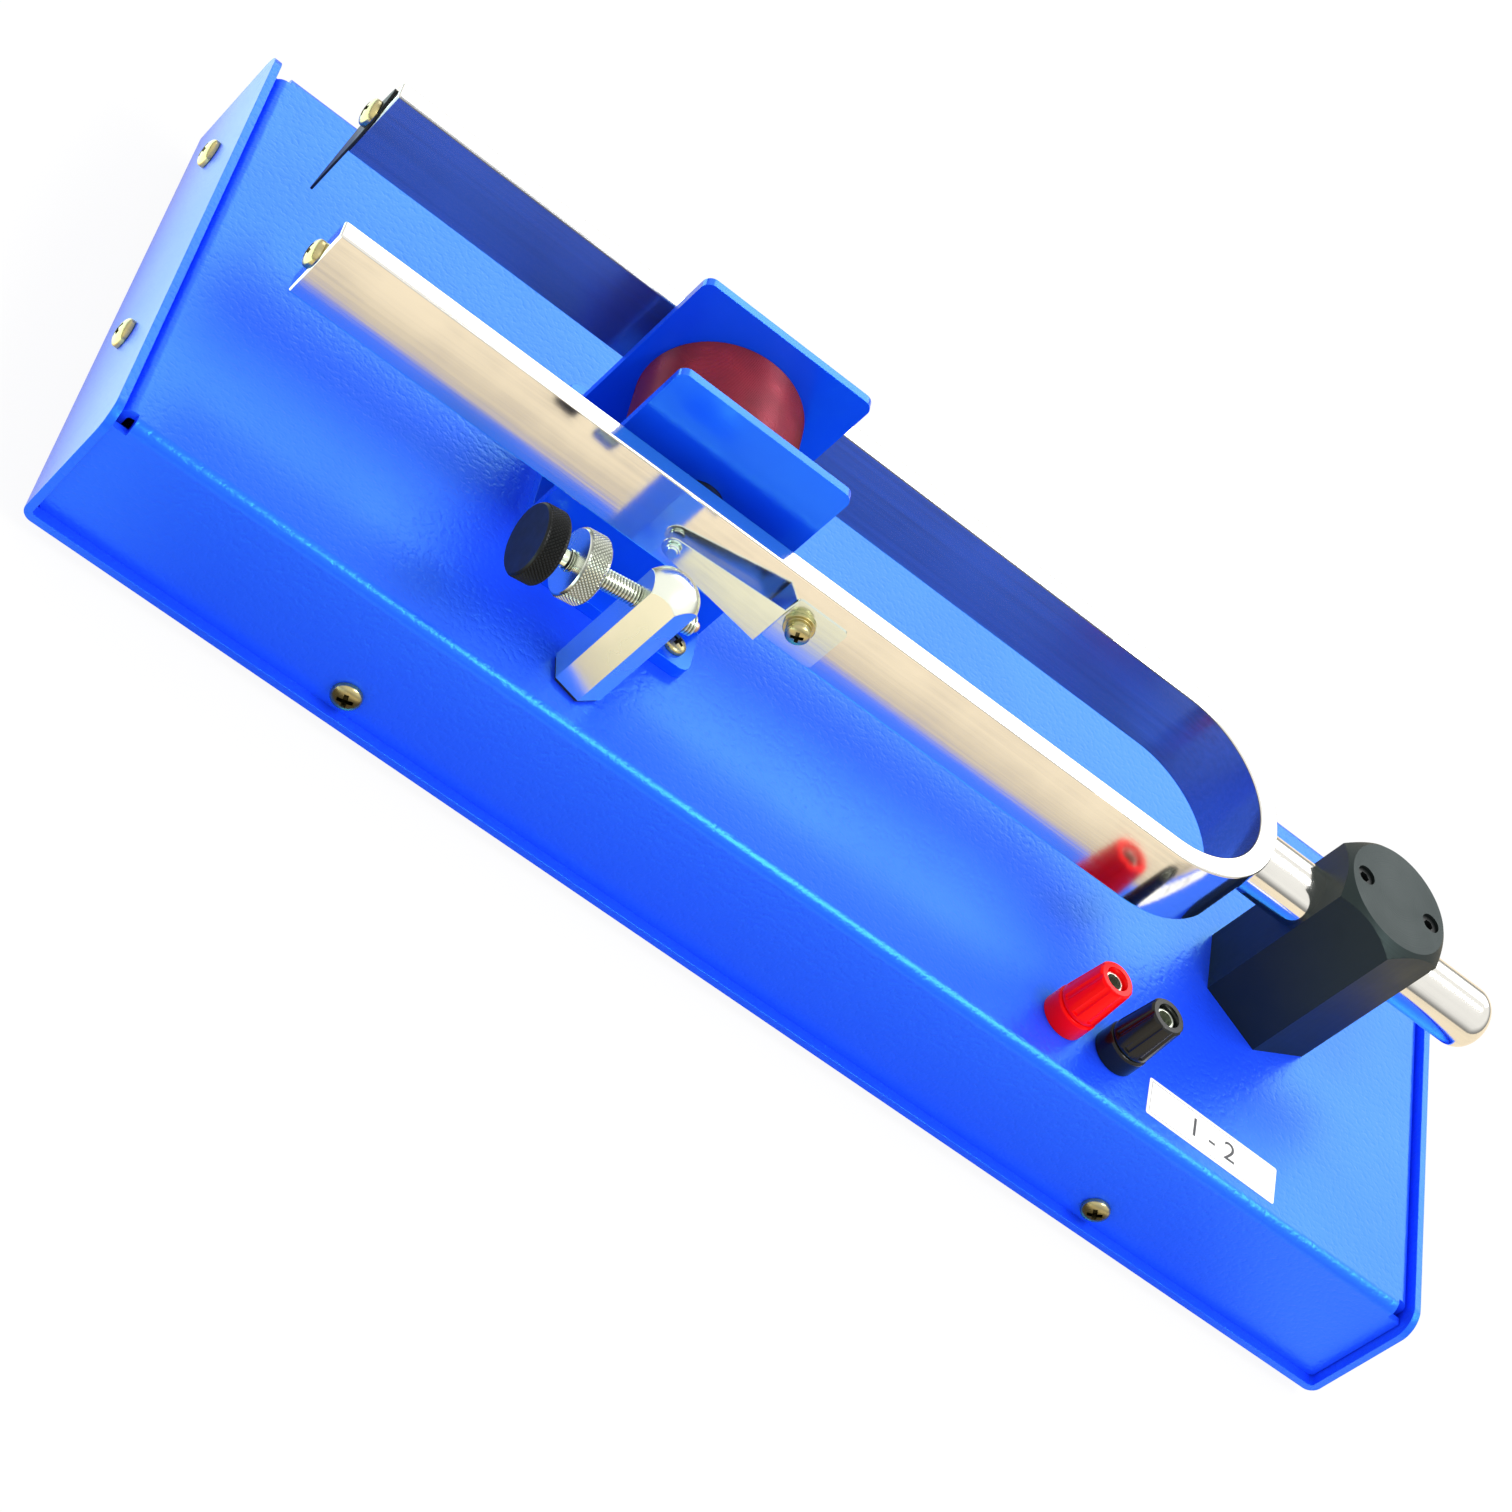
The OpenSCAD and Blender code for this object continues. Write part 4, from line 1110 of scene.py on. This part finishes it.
@dataclass
class Fork(SubAssembly):
    """The bent fork, its stem and the stylus.

    Args:
        edge: Polished-over edges of the bar.
        overlap: How far past the swinging point the straight bars run.
        blend_share: Reach of a bar's blend between two bodies to that overlap. Not used.
        cuts: Cuts across a straight bar, where it bends.
        bend_steps: Steps round the bend.
        stem_ease: Radius where the stem runs into the bend.
        end_share: Radius of the stem's round end to the stem's own.
        stem_steps: Faces round the stem.
    """

    edge: float = 0.0006
    overlap: float = 0.03
    blend_share: float = 0.8
    cuts: int = 41
    bend_steps: int = 56
    stem_ease: float = 0.0012
    end_share: float = 0.75
    stem_steps: int = 96

    def build(self) -> None:
        """Build the fork."""
        for side, body in ((-1, "near_prong"), (1, "far_prong")):
            self.bar(side, body)
        self.bend()
        self.eased("stylus", 0.0001, 1)

    def two_tone(self, piece: Piece, inner: Callable[[Vector, Vector], bool]) -> None:
        """Give a piece polished outsides and duller steel inside the fork.

        Args:
            piece: The piece.
            inner: Says which faces are inside, by middle and normal.
        """
        piece.data.materials.append(self.materials[Slot.FORK_STEEL.value])
        piece.data.materials.append(self.materials[Part.INNER_STEEL.value])
        for face in piece.data.polygons:
            face.material_index = 1 if inner(face.center, face.normal) else 0

    def soften(self, piece: Piece, seam_x: float) -> None:
        """Round a bar's edges but for those on the seam between two lengths of the fork.

        Args:
            piece: The bar, closed.
            seam_x: Where the seam is.
        """
        with editing(piece, Pick.FACES, lambda middle, normal: abs(middle.x - seam_x) < NEAR):
            bpy.ops.mesh.delete(type="FACE")
        round_edges(piece, self.edge, 3, 50)
        with editing(piece):
            bpy.ops.mesh.fill_holes(sides=0)
            bpy.ops.mesh.normals_make_consistent(inside=False)

    def bar(self, side: int, body: str) -> None:
        """Build one straight prong.

        Args:
            side: -1 for the near prong and 1 for the far one.
            body: Its body and node.
        """
        low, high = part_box(body)
        seam_x = high.x + self.overlap
        corner = Vector((seam_x, high.y, high.z))
        piece = block(corner - low, (low + corner) / 2)
        with editing(piece, Pick.EDGES, lambda middle, way: abs(way.x) > ALONG):
            bpy.ops.mesh.subdivide(number_cuts=self.cuts)
        self.soften(piece, seam_x)
        shade(piece, 30)
        self.two_tone(piece, lambda middle, normal: -side * normal.y > FACING)
        piece.name = f"{body}_bar"
        piece.data.name = piece.name
        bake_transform(piece)
        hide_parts(body)
        LOG.info("%s: %d faces", piece.name, len(piece.data.polygons))

    def bend(self) -> None:
        """Build the bend, with the stem that stands on it."""
        low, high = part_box("near_prong")
        seam_x = high.x + self.overlap
        thickness, depth = high.y - low.y, high.z - low.z
        prong_y, level = (low.y + high.y) / 2, (low.z + high.z) / 2
        half = -low.y
        bend_x = self.bend_middle(half)
        bpy.ops.mesh.primitive_plane_add(
            size=1, location=(bend_x, prong_y, level), rotation=(0, math.pi / 2, 0)
        )
        piece = bpy.context.object
        piece.scale = (depth, thickness, 1)
        settle(piece)
        with editing(piece):
            bpy.ops.mesh.spin(
                steps=self.bend_steps, angle=math.pi, center=(bend_x, 0, level), axis=(0, 0, -1)
            )
        knit(piece)

        def at_end(middle: Vector, normal: Vector) -> bool:
            """Tell the bend's two ends from its sides."""
            return abs(middle.x - bend_x) < NEAR and abs(normal.x) > ALONG

        with editing(piece, Pick.FACES, at_end):
            bpy.ops.mesh.extrude_region_move(TRANSFORM_OT_translate={"value": (seam_x - bend_x, 0, 0)})
        self.soften(piece, seam_x)
        shade(piece, 30)
        limit = half - thickness / 2
        self.two_tone(piece, lambda middle, normal: self.inward(middle, normal, bend_x, limit))
        self.finish(piece, "fork_bend", "fork_yoke")
        _, yoke_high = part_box("fork_yoke")
        self.stem(bend_x + half - thickness * 0.3, yoke_high.x, level)

    def bend_middle(self, half: float) -> float:
        """Find where the bend starts: at the yoke's first widest corners past its seams with the prongs.

        Args:
            half: Half the fork's width.

        Returns:
            The X of those corners.
        """
        places = [vert.co for vert in self.frame["nodes"]["fork_yoke"].data.vertices]
        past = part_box("near_prong")[1].x + self.overlap
        return min(place.x for place in places if abs(abs(place.y) - half) < WELD and place.x > past)

    def inward(self, middle: Vector, normal: Vector, bend_x: float, limit: float) -> bool:
        """Tell whether a face of the bend looks into the fork.

        Args:
            middle: The face's middle.
            normal: Where the face looks.
            bend_x: Where the bend starts.
            limit: Distance of the bar's own middle from the fork's.

        Returns:
            True for a face on the inside.
        """
        if abs(normal.z) >= 0.5:
            return False
        if middle.x < bend_x:
            return abs(middle.y) < limit and abs(normal.y) > FACING
        return math.hypot(middle.x - bend_x, middle.y) < limit

    def stem(self, start_x: float, end_x: float, level: float) -> None:
        """Turn the stem, with its round end and the flare where it joins the bend.

        Args:
            start_x: Where it starts, inside the bend.
            end_x: Its free end.
            level: Its height.
        """
        low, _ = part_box("grub_screws")
        radius, length, steps = low.z - level, end_x - start_x, 12
        round_r = radius * self.end_share
        flat_r, straight = radius - round_r, length - round_r
        angles = [math.pi / 2 * (1 - step / steps) for step in range(steps + 1)]
        rim = [(flat_r + round_r * math.sin(a), straight + round_r * math.cos(a)) for a in angles]
        flare = [(0.0, 0.0), (radius + self.stem_ease, 0.0), (radius, self.stem_ease * 1.6)]
        piece = turned([*flare, *rim, (0.0, length)], self.stem_steps)
        settle(piece, along(Vector((start_x, 0, level)), Vector((1, 0, 0))))
        self.finish(shade(piece, 40), "fork_stem", "fork_yoke", replaces=False)


@dataclass
class Holder(SubAssembly):
    """The hexagonal holder and its grub screws.

    Args:
        edge: Broken edges of the bar stock.
    """

    edge: float = 0.0003

    def build(self) -> None:
        """Build the holder."""
        self.eased("fork_holder", self.edge, 2, 20)
        self.eased("grub_screws", 0.00015)
        self.dress("holder_bolt", "holder_washer")


@dataclass
class Interrupter(SubAssembly):
    """The contact spring on its prong, and the pillar with its contact screw and lock nut.

    Args:
        pitch: Pitch of the contact screw's thread.
        knurl_pitch: Width of one diamond of the knurls.
        knurl_depth: Depth of the knurls.
        rim: Chamfer of the knurled rims.
        thread_depth: Depth of the thread.
    """

    pitch: float = 0.0008
    knurl_pitch: float = 0.00095
    knurl_depth: float = 0.0003
    rim: float = 0.0004
    thread_depth: float = 0.00045

    def build(self) -> None:
        """Build the interrupter."""
        self.eased("contact_spring", 0.0)
        self.eased("spring_rivet", 0.0001, 1)
        self.eased("spring_washers", 0.00012, 1)
        self.eased("contact_pillar", 0.00025, 2, 24)
        self.eased("pillar_washer", 0.0001, 1)
        self.eased("contact_tip", 0.0001, 1)
        self.dress("pillar_bolt", "pillar_bush")
        self.contact_screw()
        self.lock_nut()

    def rings(self, node: str) -> Profile:
        """Measure a node's corners about the contact screw's axis.

        Args:
            node: The node.

        Returns:
            The (radius, distance from the pillar's middle) of each.
        """
        middle, axis = self.joint("screw_turn")
        offsets = [vert.co - middle for vert in self.frame["nodes"][node].data.vertices]
        return [((offset - axis * offset.dot(axis)).length, offset.dot(axis)) for offset in offsets]

    def contact_screw(self) -> None:
        """Build the contact screw: a threaded rod behind a plain neck and a knurled head."""
        rings = self.rings("contact_screw")
        start, end = min(u for _, u in rings), max(u for _, u in rings)
        head_r = max(r for r, _ in rings)
        head_l = max(u for r, u in rings if r > 0.9 * head_r) - start
        # The rod's corners lie past the head's, and the thread's are the widest of them
        rod = [(r, u) for r, u in rings if u > start + 1.01 * head_l]
        rod_r = max(r for r, _ in rod)
        thread_u = min(u for r, u in rod if r > 0.99 * rod_r)
        neck_r = min(r for r, u in rod if abs(u - thread_u) < NEAR)
        head = knurled(head_r, head_l, self.rim, self.knurl_pitch, self.knurl_depth)
        neck_l = thread_u - start
        neck = turned([(0, head_l / 2), (neck_r, head_l / 2), (neck_r, neck_l), (0, neck_l)])
        thread = threaded(rod_r, end - thread_u, self.pitch, self.thread_depth)
        settle(thread, Matrix.Translation((0, 0, neck_l)))
        shaft = join([shade(neck), shade(thread, 40)])
        middle, axis = self.joint("screw_turn")
        for piece in (head, shaft):
            settle(piece, along(middle + axis * start, axis))
        self.finish(shade(head, 20), "contact_screw_head", "contact_screw")
        shaft.data.materials.append(self.materials[Slot.NICKEL_PLATE.value])
        self.finish(shaft, "contact_screw_shaft", "contact_screw", replaces=False)

    def lock_nut(self) -> None:
        """Build the knurled lock nut, bored for the screw."""
        rings = self.rings("lock_nut")
        start, end = min(u for _, u in rings), max(u for _, u in rings)
        bore_r, rim_r = min(r for r, _ in rings), max(r for r, _ in rings)
        piece = knurled(rim_r, end - start, self.rim, self.knurl_pitch, self.knurl_depth)
        bpy.ops.mesh.primitive_cylinder_add(vertices=48, radius=bore_r, depth=3 * (end - start))
        carve(piece, bpy.context.object)
        middle, axis = self.joint("screw_turn")
        settle(piece, along(middle + axis * start, axis))
        self.finish(shade(piece, 20), "lock_nut_piece", "lock_nut")


@dataclass
class Electromagnet(SubAssembly):
    """The bobbin, its winding and its core.

    Args:
        wire_d: Diameter of the enamelled wire.
        wire_sides: Sides of the wire's section.
        turn_steps: Steps in one turn.
    """

    wire_d: float = 0.00047
    wire_sides: int = 7
    turn_steps: int = 64

    def build(self) -> None:
        """Build the electromagnet."""
        self.eased("bobbin", 0.0004, 3)
        self.eased("magnet_core", 0.0004)
        self.dress("winding_pack", "bobbin_nuts")
        self.winding()

    def winding(self) -> None:
        """Wind the outer layer: one close helix between the flanges."""
        low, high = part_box("winding_wire")
        middle, wire_r = (low + high) / 2, self.wire_d / 2
        radius = (high.z - low.z) / 2 - wire_r
        turns = math.floor((high.y - low.y - self.wire_d) / self.wire_d)
        pitch = (high.y - low.y - self.wire_d) / turns
        bpy.ops.mesh.primitive_circle_add(vertices=self.wire_sides, radius=wire_r, location=(radius, 0, 0))
        piece = settle(bpy.context.object)
        modified(
            piece, "SCREW", axis="Y", angle=2 * math.pi, screw_offset=pitch, iterations=turns,
            steps=self.turn_steps, render_steps=self.turn_steps,
        )
        knit(piece, WELD / 10, fill=True)
        inner, fall = radius - self.wire_d / 10, self.wire_d / 4
        # The finish paints shade in the valleys between the turns
        sunken(piece, Pick.VERTS, lambda place: share((inner - place.xz.length) / fall))
        settle(piece, Matrix.Translation((middle.x, low.y + wire_r, middle.z)))
        self.finish(shade(piece, 60), "winding_turns", "winding_wire")


@dataclass
class BindingPosts(SubAssembly):
    """The two binding posts and the wiring under them.

    Args:
        edge: Rounding of the moulded caps and collars.
    """

    edge: float = 0.0003

    def build(self) -> None:
        """Build the posts."""
        for colour in ("red", "black"):
            self.eased(f"{colour}_cap", self.edge, 3, 24)
            self.eased(f"{colour}_post_collar", self.edge, 3)
            self.dress(f"{colour}_cap_bush")
        self.eased("post_studs", 0.00015)
        self.dress("post_washers", "post_nuts", "solder_tags")
        for lead in ("coil_lead", "pillar_lead", "frame_lead"):
            self.eased(lead, 0.0, angle=50)


@dataclass
class RatingLabel(SubAssembly):
    """The white label beside the posts, with plain numbers.

    Args:
        middle: Its place on the cover.
        size: Its length and width.
        thickness: Its thickness.
        turn: How far it was stuck on askew, in degrees.
        corner: Radius of its corners.
        border_in: Distance of the printed border from its edge.
        line: Width of that border.
        figures: What is printed.
        figure_share: Size of the figures to the label's width.
    """

    middle: Pair = (0.1192, -0.0556)
    size: Pair = (0.041, 0.0113)
    thickness: float = 0.00012
    turn: float = -1.4
    corner: float = 0.0006
    border_in: float = 0.0009
    line: float = 0.0001
    figures: str = "1 - 2"
    figure_share: float = 0.72

    def build(self) -> None:
        """Build the label, its border and its figures."""
        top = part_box("top_cover")[1].z
        place = Matrix.Translation((*self.middle, top)) @ Matrix.Rotation(math.radians(self.turn), 4, "Z")
        paper = self.slab(self.size, self.thickness, self.corner)
        self.attach(paper, place, Part.LABEL_PAPER)
        length, width = (side - 2 * self.border_in for side in self.size)
        lines = []
        for spot, size in (
            ((0, width / 2), (length, self.line)),
            ((0, -width / 2), (length, self.line)),
            ((length / 2, 0), (self.line, width)),
            ((-length / 2, 0), (self.line, width)),
        ):
            stroke = self.slab(size, self.thickness / 6, self.line / 3)
            lines.append(settle(stroke, Matrix.Translation((*spot, self.thickness))))
        self.attach(join(lines), place, Part.LABEL_INK)
        self.attach(self.numbers(), place, Part.LABEL_INK)

    def attach(self, piece: Piece, place: Matrix, finish: Part) -> None:
        """Stick a piece of the label on the cover.

        Args:
            piece: The piece, about the label's middle.
            place: The label's place.
            finish: Its finish.
        """
        settle(piece, place)
        piece.data.materials.append(self.materials[finish.value])
        name = f"{finish.value}_{len(bpy.data.objects)}"
        self.finish(piece, name, "top_cover", replaces=False)

    def slab(self, size: Pair, thickness: float, corner: float) -> Piece:
        """Model a thin slab with round corners, on z = 0.

        Args:
            size: Its length and width.
            thickness: Its thickness.
            corner: Radius of its corners.

        Returns:
            The slab.
        """
        piece = block((*size, thickness), (0, 0, thickness / 2))
        with editing(piece, Pick.EDGES, lambda middle, way: abs(way.z) > ALONG):
            bpy.ops.mesh.bevel(offset=corner, segments=5, affect="EDGES")
        return shade(piece, 40)

    def numbers(self) -> Piece:
        """Set the figures as thin raised print.

        Returns:
            The figures as a mesh.
        """
        bpy.ops.object.text_add(location=(0, 0, self.thickness))
        text = bpy.context.object
        text.data.body = self.figures
        text.data.size = self.size[1] * self.figure_share
        text.data.align_x = "CENTER"
        text.data.align_y = "CENTER"
        text.data.extrude = self.thickness / 12
        select_only(text)
        bpy.ops.object.convert(target="MESH")
        return settle(bpy.context.object)


# Stage


@dataclass
class Studio:
    """The floor, the light and the camera.

    Args:
        seat: The camera's place.
        right: The way its right side points.
        up: The way its top points.
        back: The way its back points.
        lens: Focal length on a 36 mm sensor.
        shift: Shift of the frame from the lens's axis.
        room_light: Strength at which the room lights the object.
        room_tint: Colour of that light.
        floor_matt: Colour of the floor under its own shadow.
        floor_glow: Brightness of the floor in mirrors, in the base's shade and beyond it.
        shaded: Reach of that shade from the middle, along X and Y.
        penumbra: Width of its edge.
        end_from: Where the bright floor before the end wall starts, and where it is full.
        end_glow: Brightness added there.
        end_tint: Colour of the floor there, in mirrors.
        horizon_glow: Brightness of the lowest sky in mirrors.
        haze: How far up, as a share of straight up, the sky grows white.
        camera_glow: Share of plain white in the floor that the camera sees.
        cream: Colour of the other floor in mirrors.
        target: What the lamps look at.
    """

    seat: Spot = (-0.30755, -0.66237, 0.54297)
    right: Spot = (0.75783, 0.13284, 0.63878)
    up: Spot = (-0.54407, 0.66904, 0.50634)
    back: Spot = (-0.36010, -0.73126, 0.57929)
    lens: float = 90.56
    shift: Pair = (-0.0698, 0.0240)
    room_light: float = 0.9
    room_tint: Colour = (1.0, 0.985, 0.96)
    floor_matt: Colour = (0.9, 0.89, 0.87)
    floor_glow: Pair = (0.10, 1.18)
    shaded: Pair = (0.14, 0.088)
    penumbra: float = 0.05
    end_from: Pair = (-0.19, -0.20)
    end_glow: float = 1.5
    end_tint: Colour = (0.80, 1.0, 1.0)
    horizon_glow: float = 0.25
    haze: float = 0.4
    camera_glow: float = 0.93
    cream: Colour = (0.92, 0.79, 0.60)
    target: Spot = (0.0, 0.0, 0.04)

    def build(self) -> None:
        """Build the stage."""
        self.camera()
        self.floor()
        self.world()
        self.lamp("back_softbox", (0.55, 1.15, 0.85), (1.6, 0.8), 8.0)
        self.lamp("top_strip", (0.47, -0.22, 1.17), (1.0, 0.3), 10.0)

    def camera(self) -> None:
        """Put the camera where the photograph was taken from."""
        bpy.ops.object.camera_add(location=self.seat)
        camera = bpy.context.object
        turn = Matrix((self.right, self.up, self.back)).transposed().to_4x4()
        camera.matrix_world = Matrix.Translation(self.seat) @ turn
        camera.data.lens = self.lens
        camera.data.sensor_width = 36.0
        camera.data.shift_x, camera.data.shift_y = self.shift
        camera.data.clip_start = 0.01
        bpy.context.scene.camera = camera

    def seen(self, graph: Graph) -> tuple[Socket, Socket]:
        """Tell rays that the eye follows from rays that light the object.

        Args:
            graph: The tree to wire it in.

        Returns:
            A mask for camera rays, and one for mirror and glass rays.
        """
        path = graph.add("ShaderNodeLightPath").outputs
        mirrored = graph.math("MAXIMUM", path["Is Glossy Ray"], path["Is Transmission Ray"])
        return path["Is Camera Ray"], mirrored

    def floor_shade(self, graph: Graph) -> tuple[Socket, Socket]:
        """Give how bright the floor is in mirrors: dim beside the base, and bright beyond its shade.

        Args:
            graph: The tree to wire it in.

        Returns:
            The brightness, and a mask of the bright place before the end wall.
        """
        place = graph.add("ShaderNodeTexCoord").outputs["Object"]
        axes = graph.add("ShaderNodeSeparateXYZ", {0: place}).outputs
        aside = [
            graph.math("SUBTRACT", graph.math("ABSOLUTE", axis), reach)
            for axis, reach in zip(axes, self.shaded)
        ]
        start, full = self.end_from
        before_end = graph.add("ShaderNodeMapRange", {"Value": axes[0], "From Min": start, "From Max": full})
        mask = before_end.outputs["Result"]
        ramp = graph.spread(graph.math("MAXIMUM", *aside), 0.0, self.penumbra, *self.floor_glow)
        return graph.math("MULTIPLY_ADD", mask, self.end_glow, ramp), mask

    def floor(self) -> None:
        """Lay a wide white floor that keeps a faint shadow."""
        bpy.ops.mesh.primitive_plane_add(size=9)
        floor = bpy.context.object
        floor.name = "floor"
        material = bpy.data.materials.new("floor")
        graph = blank(material)
        camera, mirrored = self.seen(graph)
        brightness, before_end = self.floor_shade(graph)
        tint = graph.blend(before_end, self.cream, self.end_tint)
        glow = {
            "Color": graph.blend(camera, tint, (1, 1, 1)),
            "Strength": graph.math("MULTIPLY_ADD", mirrored, brightness, camera),
        }
        shaders = {
            0: graph.math("MULTIPLY_ADD", camera, self.camera_glow, mirrored),
            1: graph.add("ShaderNodeBsdfDiffuse", {"Color": (*self.floor_matt, 1)}).outputs[0],
            2: graph.add("ShaderNodeEmission", glow).outputs[0],
        }
        mix = graph.add("ShaderNodeMixShader", shaders)
        graph.add("ShaderNodeOutputMaterial", {0: mix.outputs[0]})
        floor.data.materials.append(material)

    def world(self) -> None:
        """Surround the object with white, at a lower strength where it only lights."""
        world = bpy.data.worlds.new("studio")
        bpy.context.scene.world = world
        graph = blank(world)
        camera, mirrored = self.seen(graph)
        way = graph.add("ShaderNodeTexCoord").outputs["Generated"]
        up = graph.add("ShaderNodeSeparateXYZ", {0: way}).outputs[2]
        sky = graph.spread(up, 0.0, self.haze, self.horizon_glow, 1.0)
        lit = graph.between(graph.math("ADD", camera, mirrored), self.room_light, 0.0)
        seen = graph.math("MULTIPLY_ADD", mirrored, sky, camera)
        glow = {
            "Color": graph.blend(camera, self.room_tint, (1, 1, 1)),
            "Strength": graph.math("ADD", lit, seen),
        }
        background = graph.add("ShaderNodeBackground", glow)
        graph.add("ShaderNodeOutputWorld", {0: background.outputs[0]})

    def lamp(self, name: str, seat: Spot, size: Pair, power: float) -> None:
        """Hang a rectangular lamp that looks at the object.

        Args:
            name: Its name.
            seat: Its place.
            size: Its width and height.
            power: Its power, in watts.
        """
        bpy.ops.object.light_add(type="AREA", location=seat)
        lamp = bpy.context.object
        lamp.name = name
        lamp.data.shape = "RECTANGLE"
        lamp.data.size, lamp.data.size_y = size
        lamp.data.energy = power
        aim = Vector(self.target) - Vector(seat)
        lamp.rotation_euler = aim.to_track_quat("-Z", "Y").to_euler()


def main() -> None:
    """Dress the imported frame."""
    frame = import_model()
    bpy.context.scene.view_settings.view_transform = "Standard"
    Studio().build()
    low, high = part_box("fork_holder")
    materials = Palette((low + high) / 2).build()
    for kind in (SheetBase, PanScrews, Holder, Fork, Interrupter, Electromagnet, BindingPosts, RatingLabel):
        LOG.info("building %s", kind.__name__)
        kind(frame, materials).build()


if __name__ == "__main__":
    logging.basicConfig(level=logging.INFO, format="%(message)s")
    main()
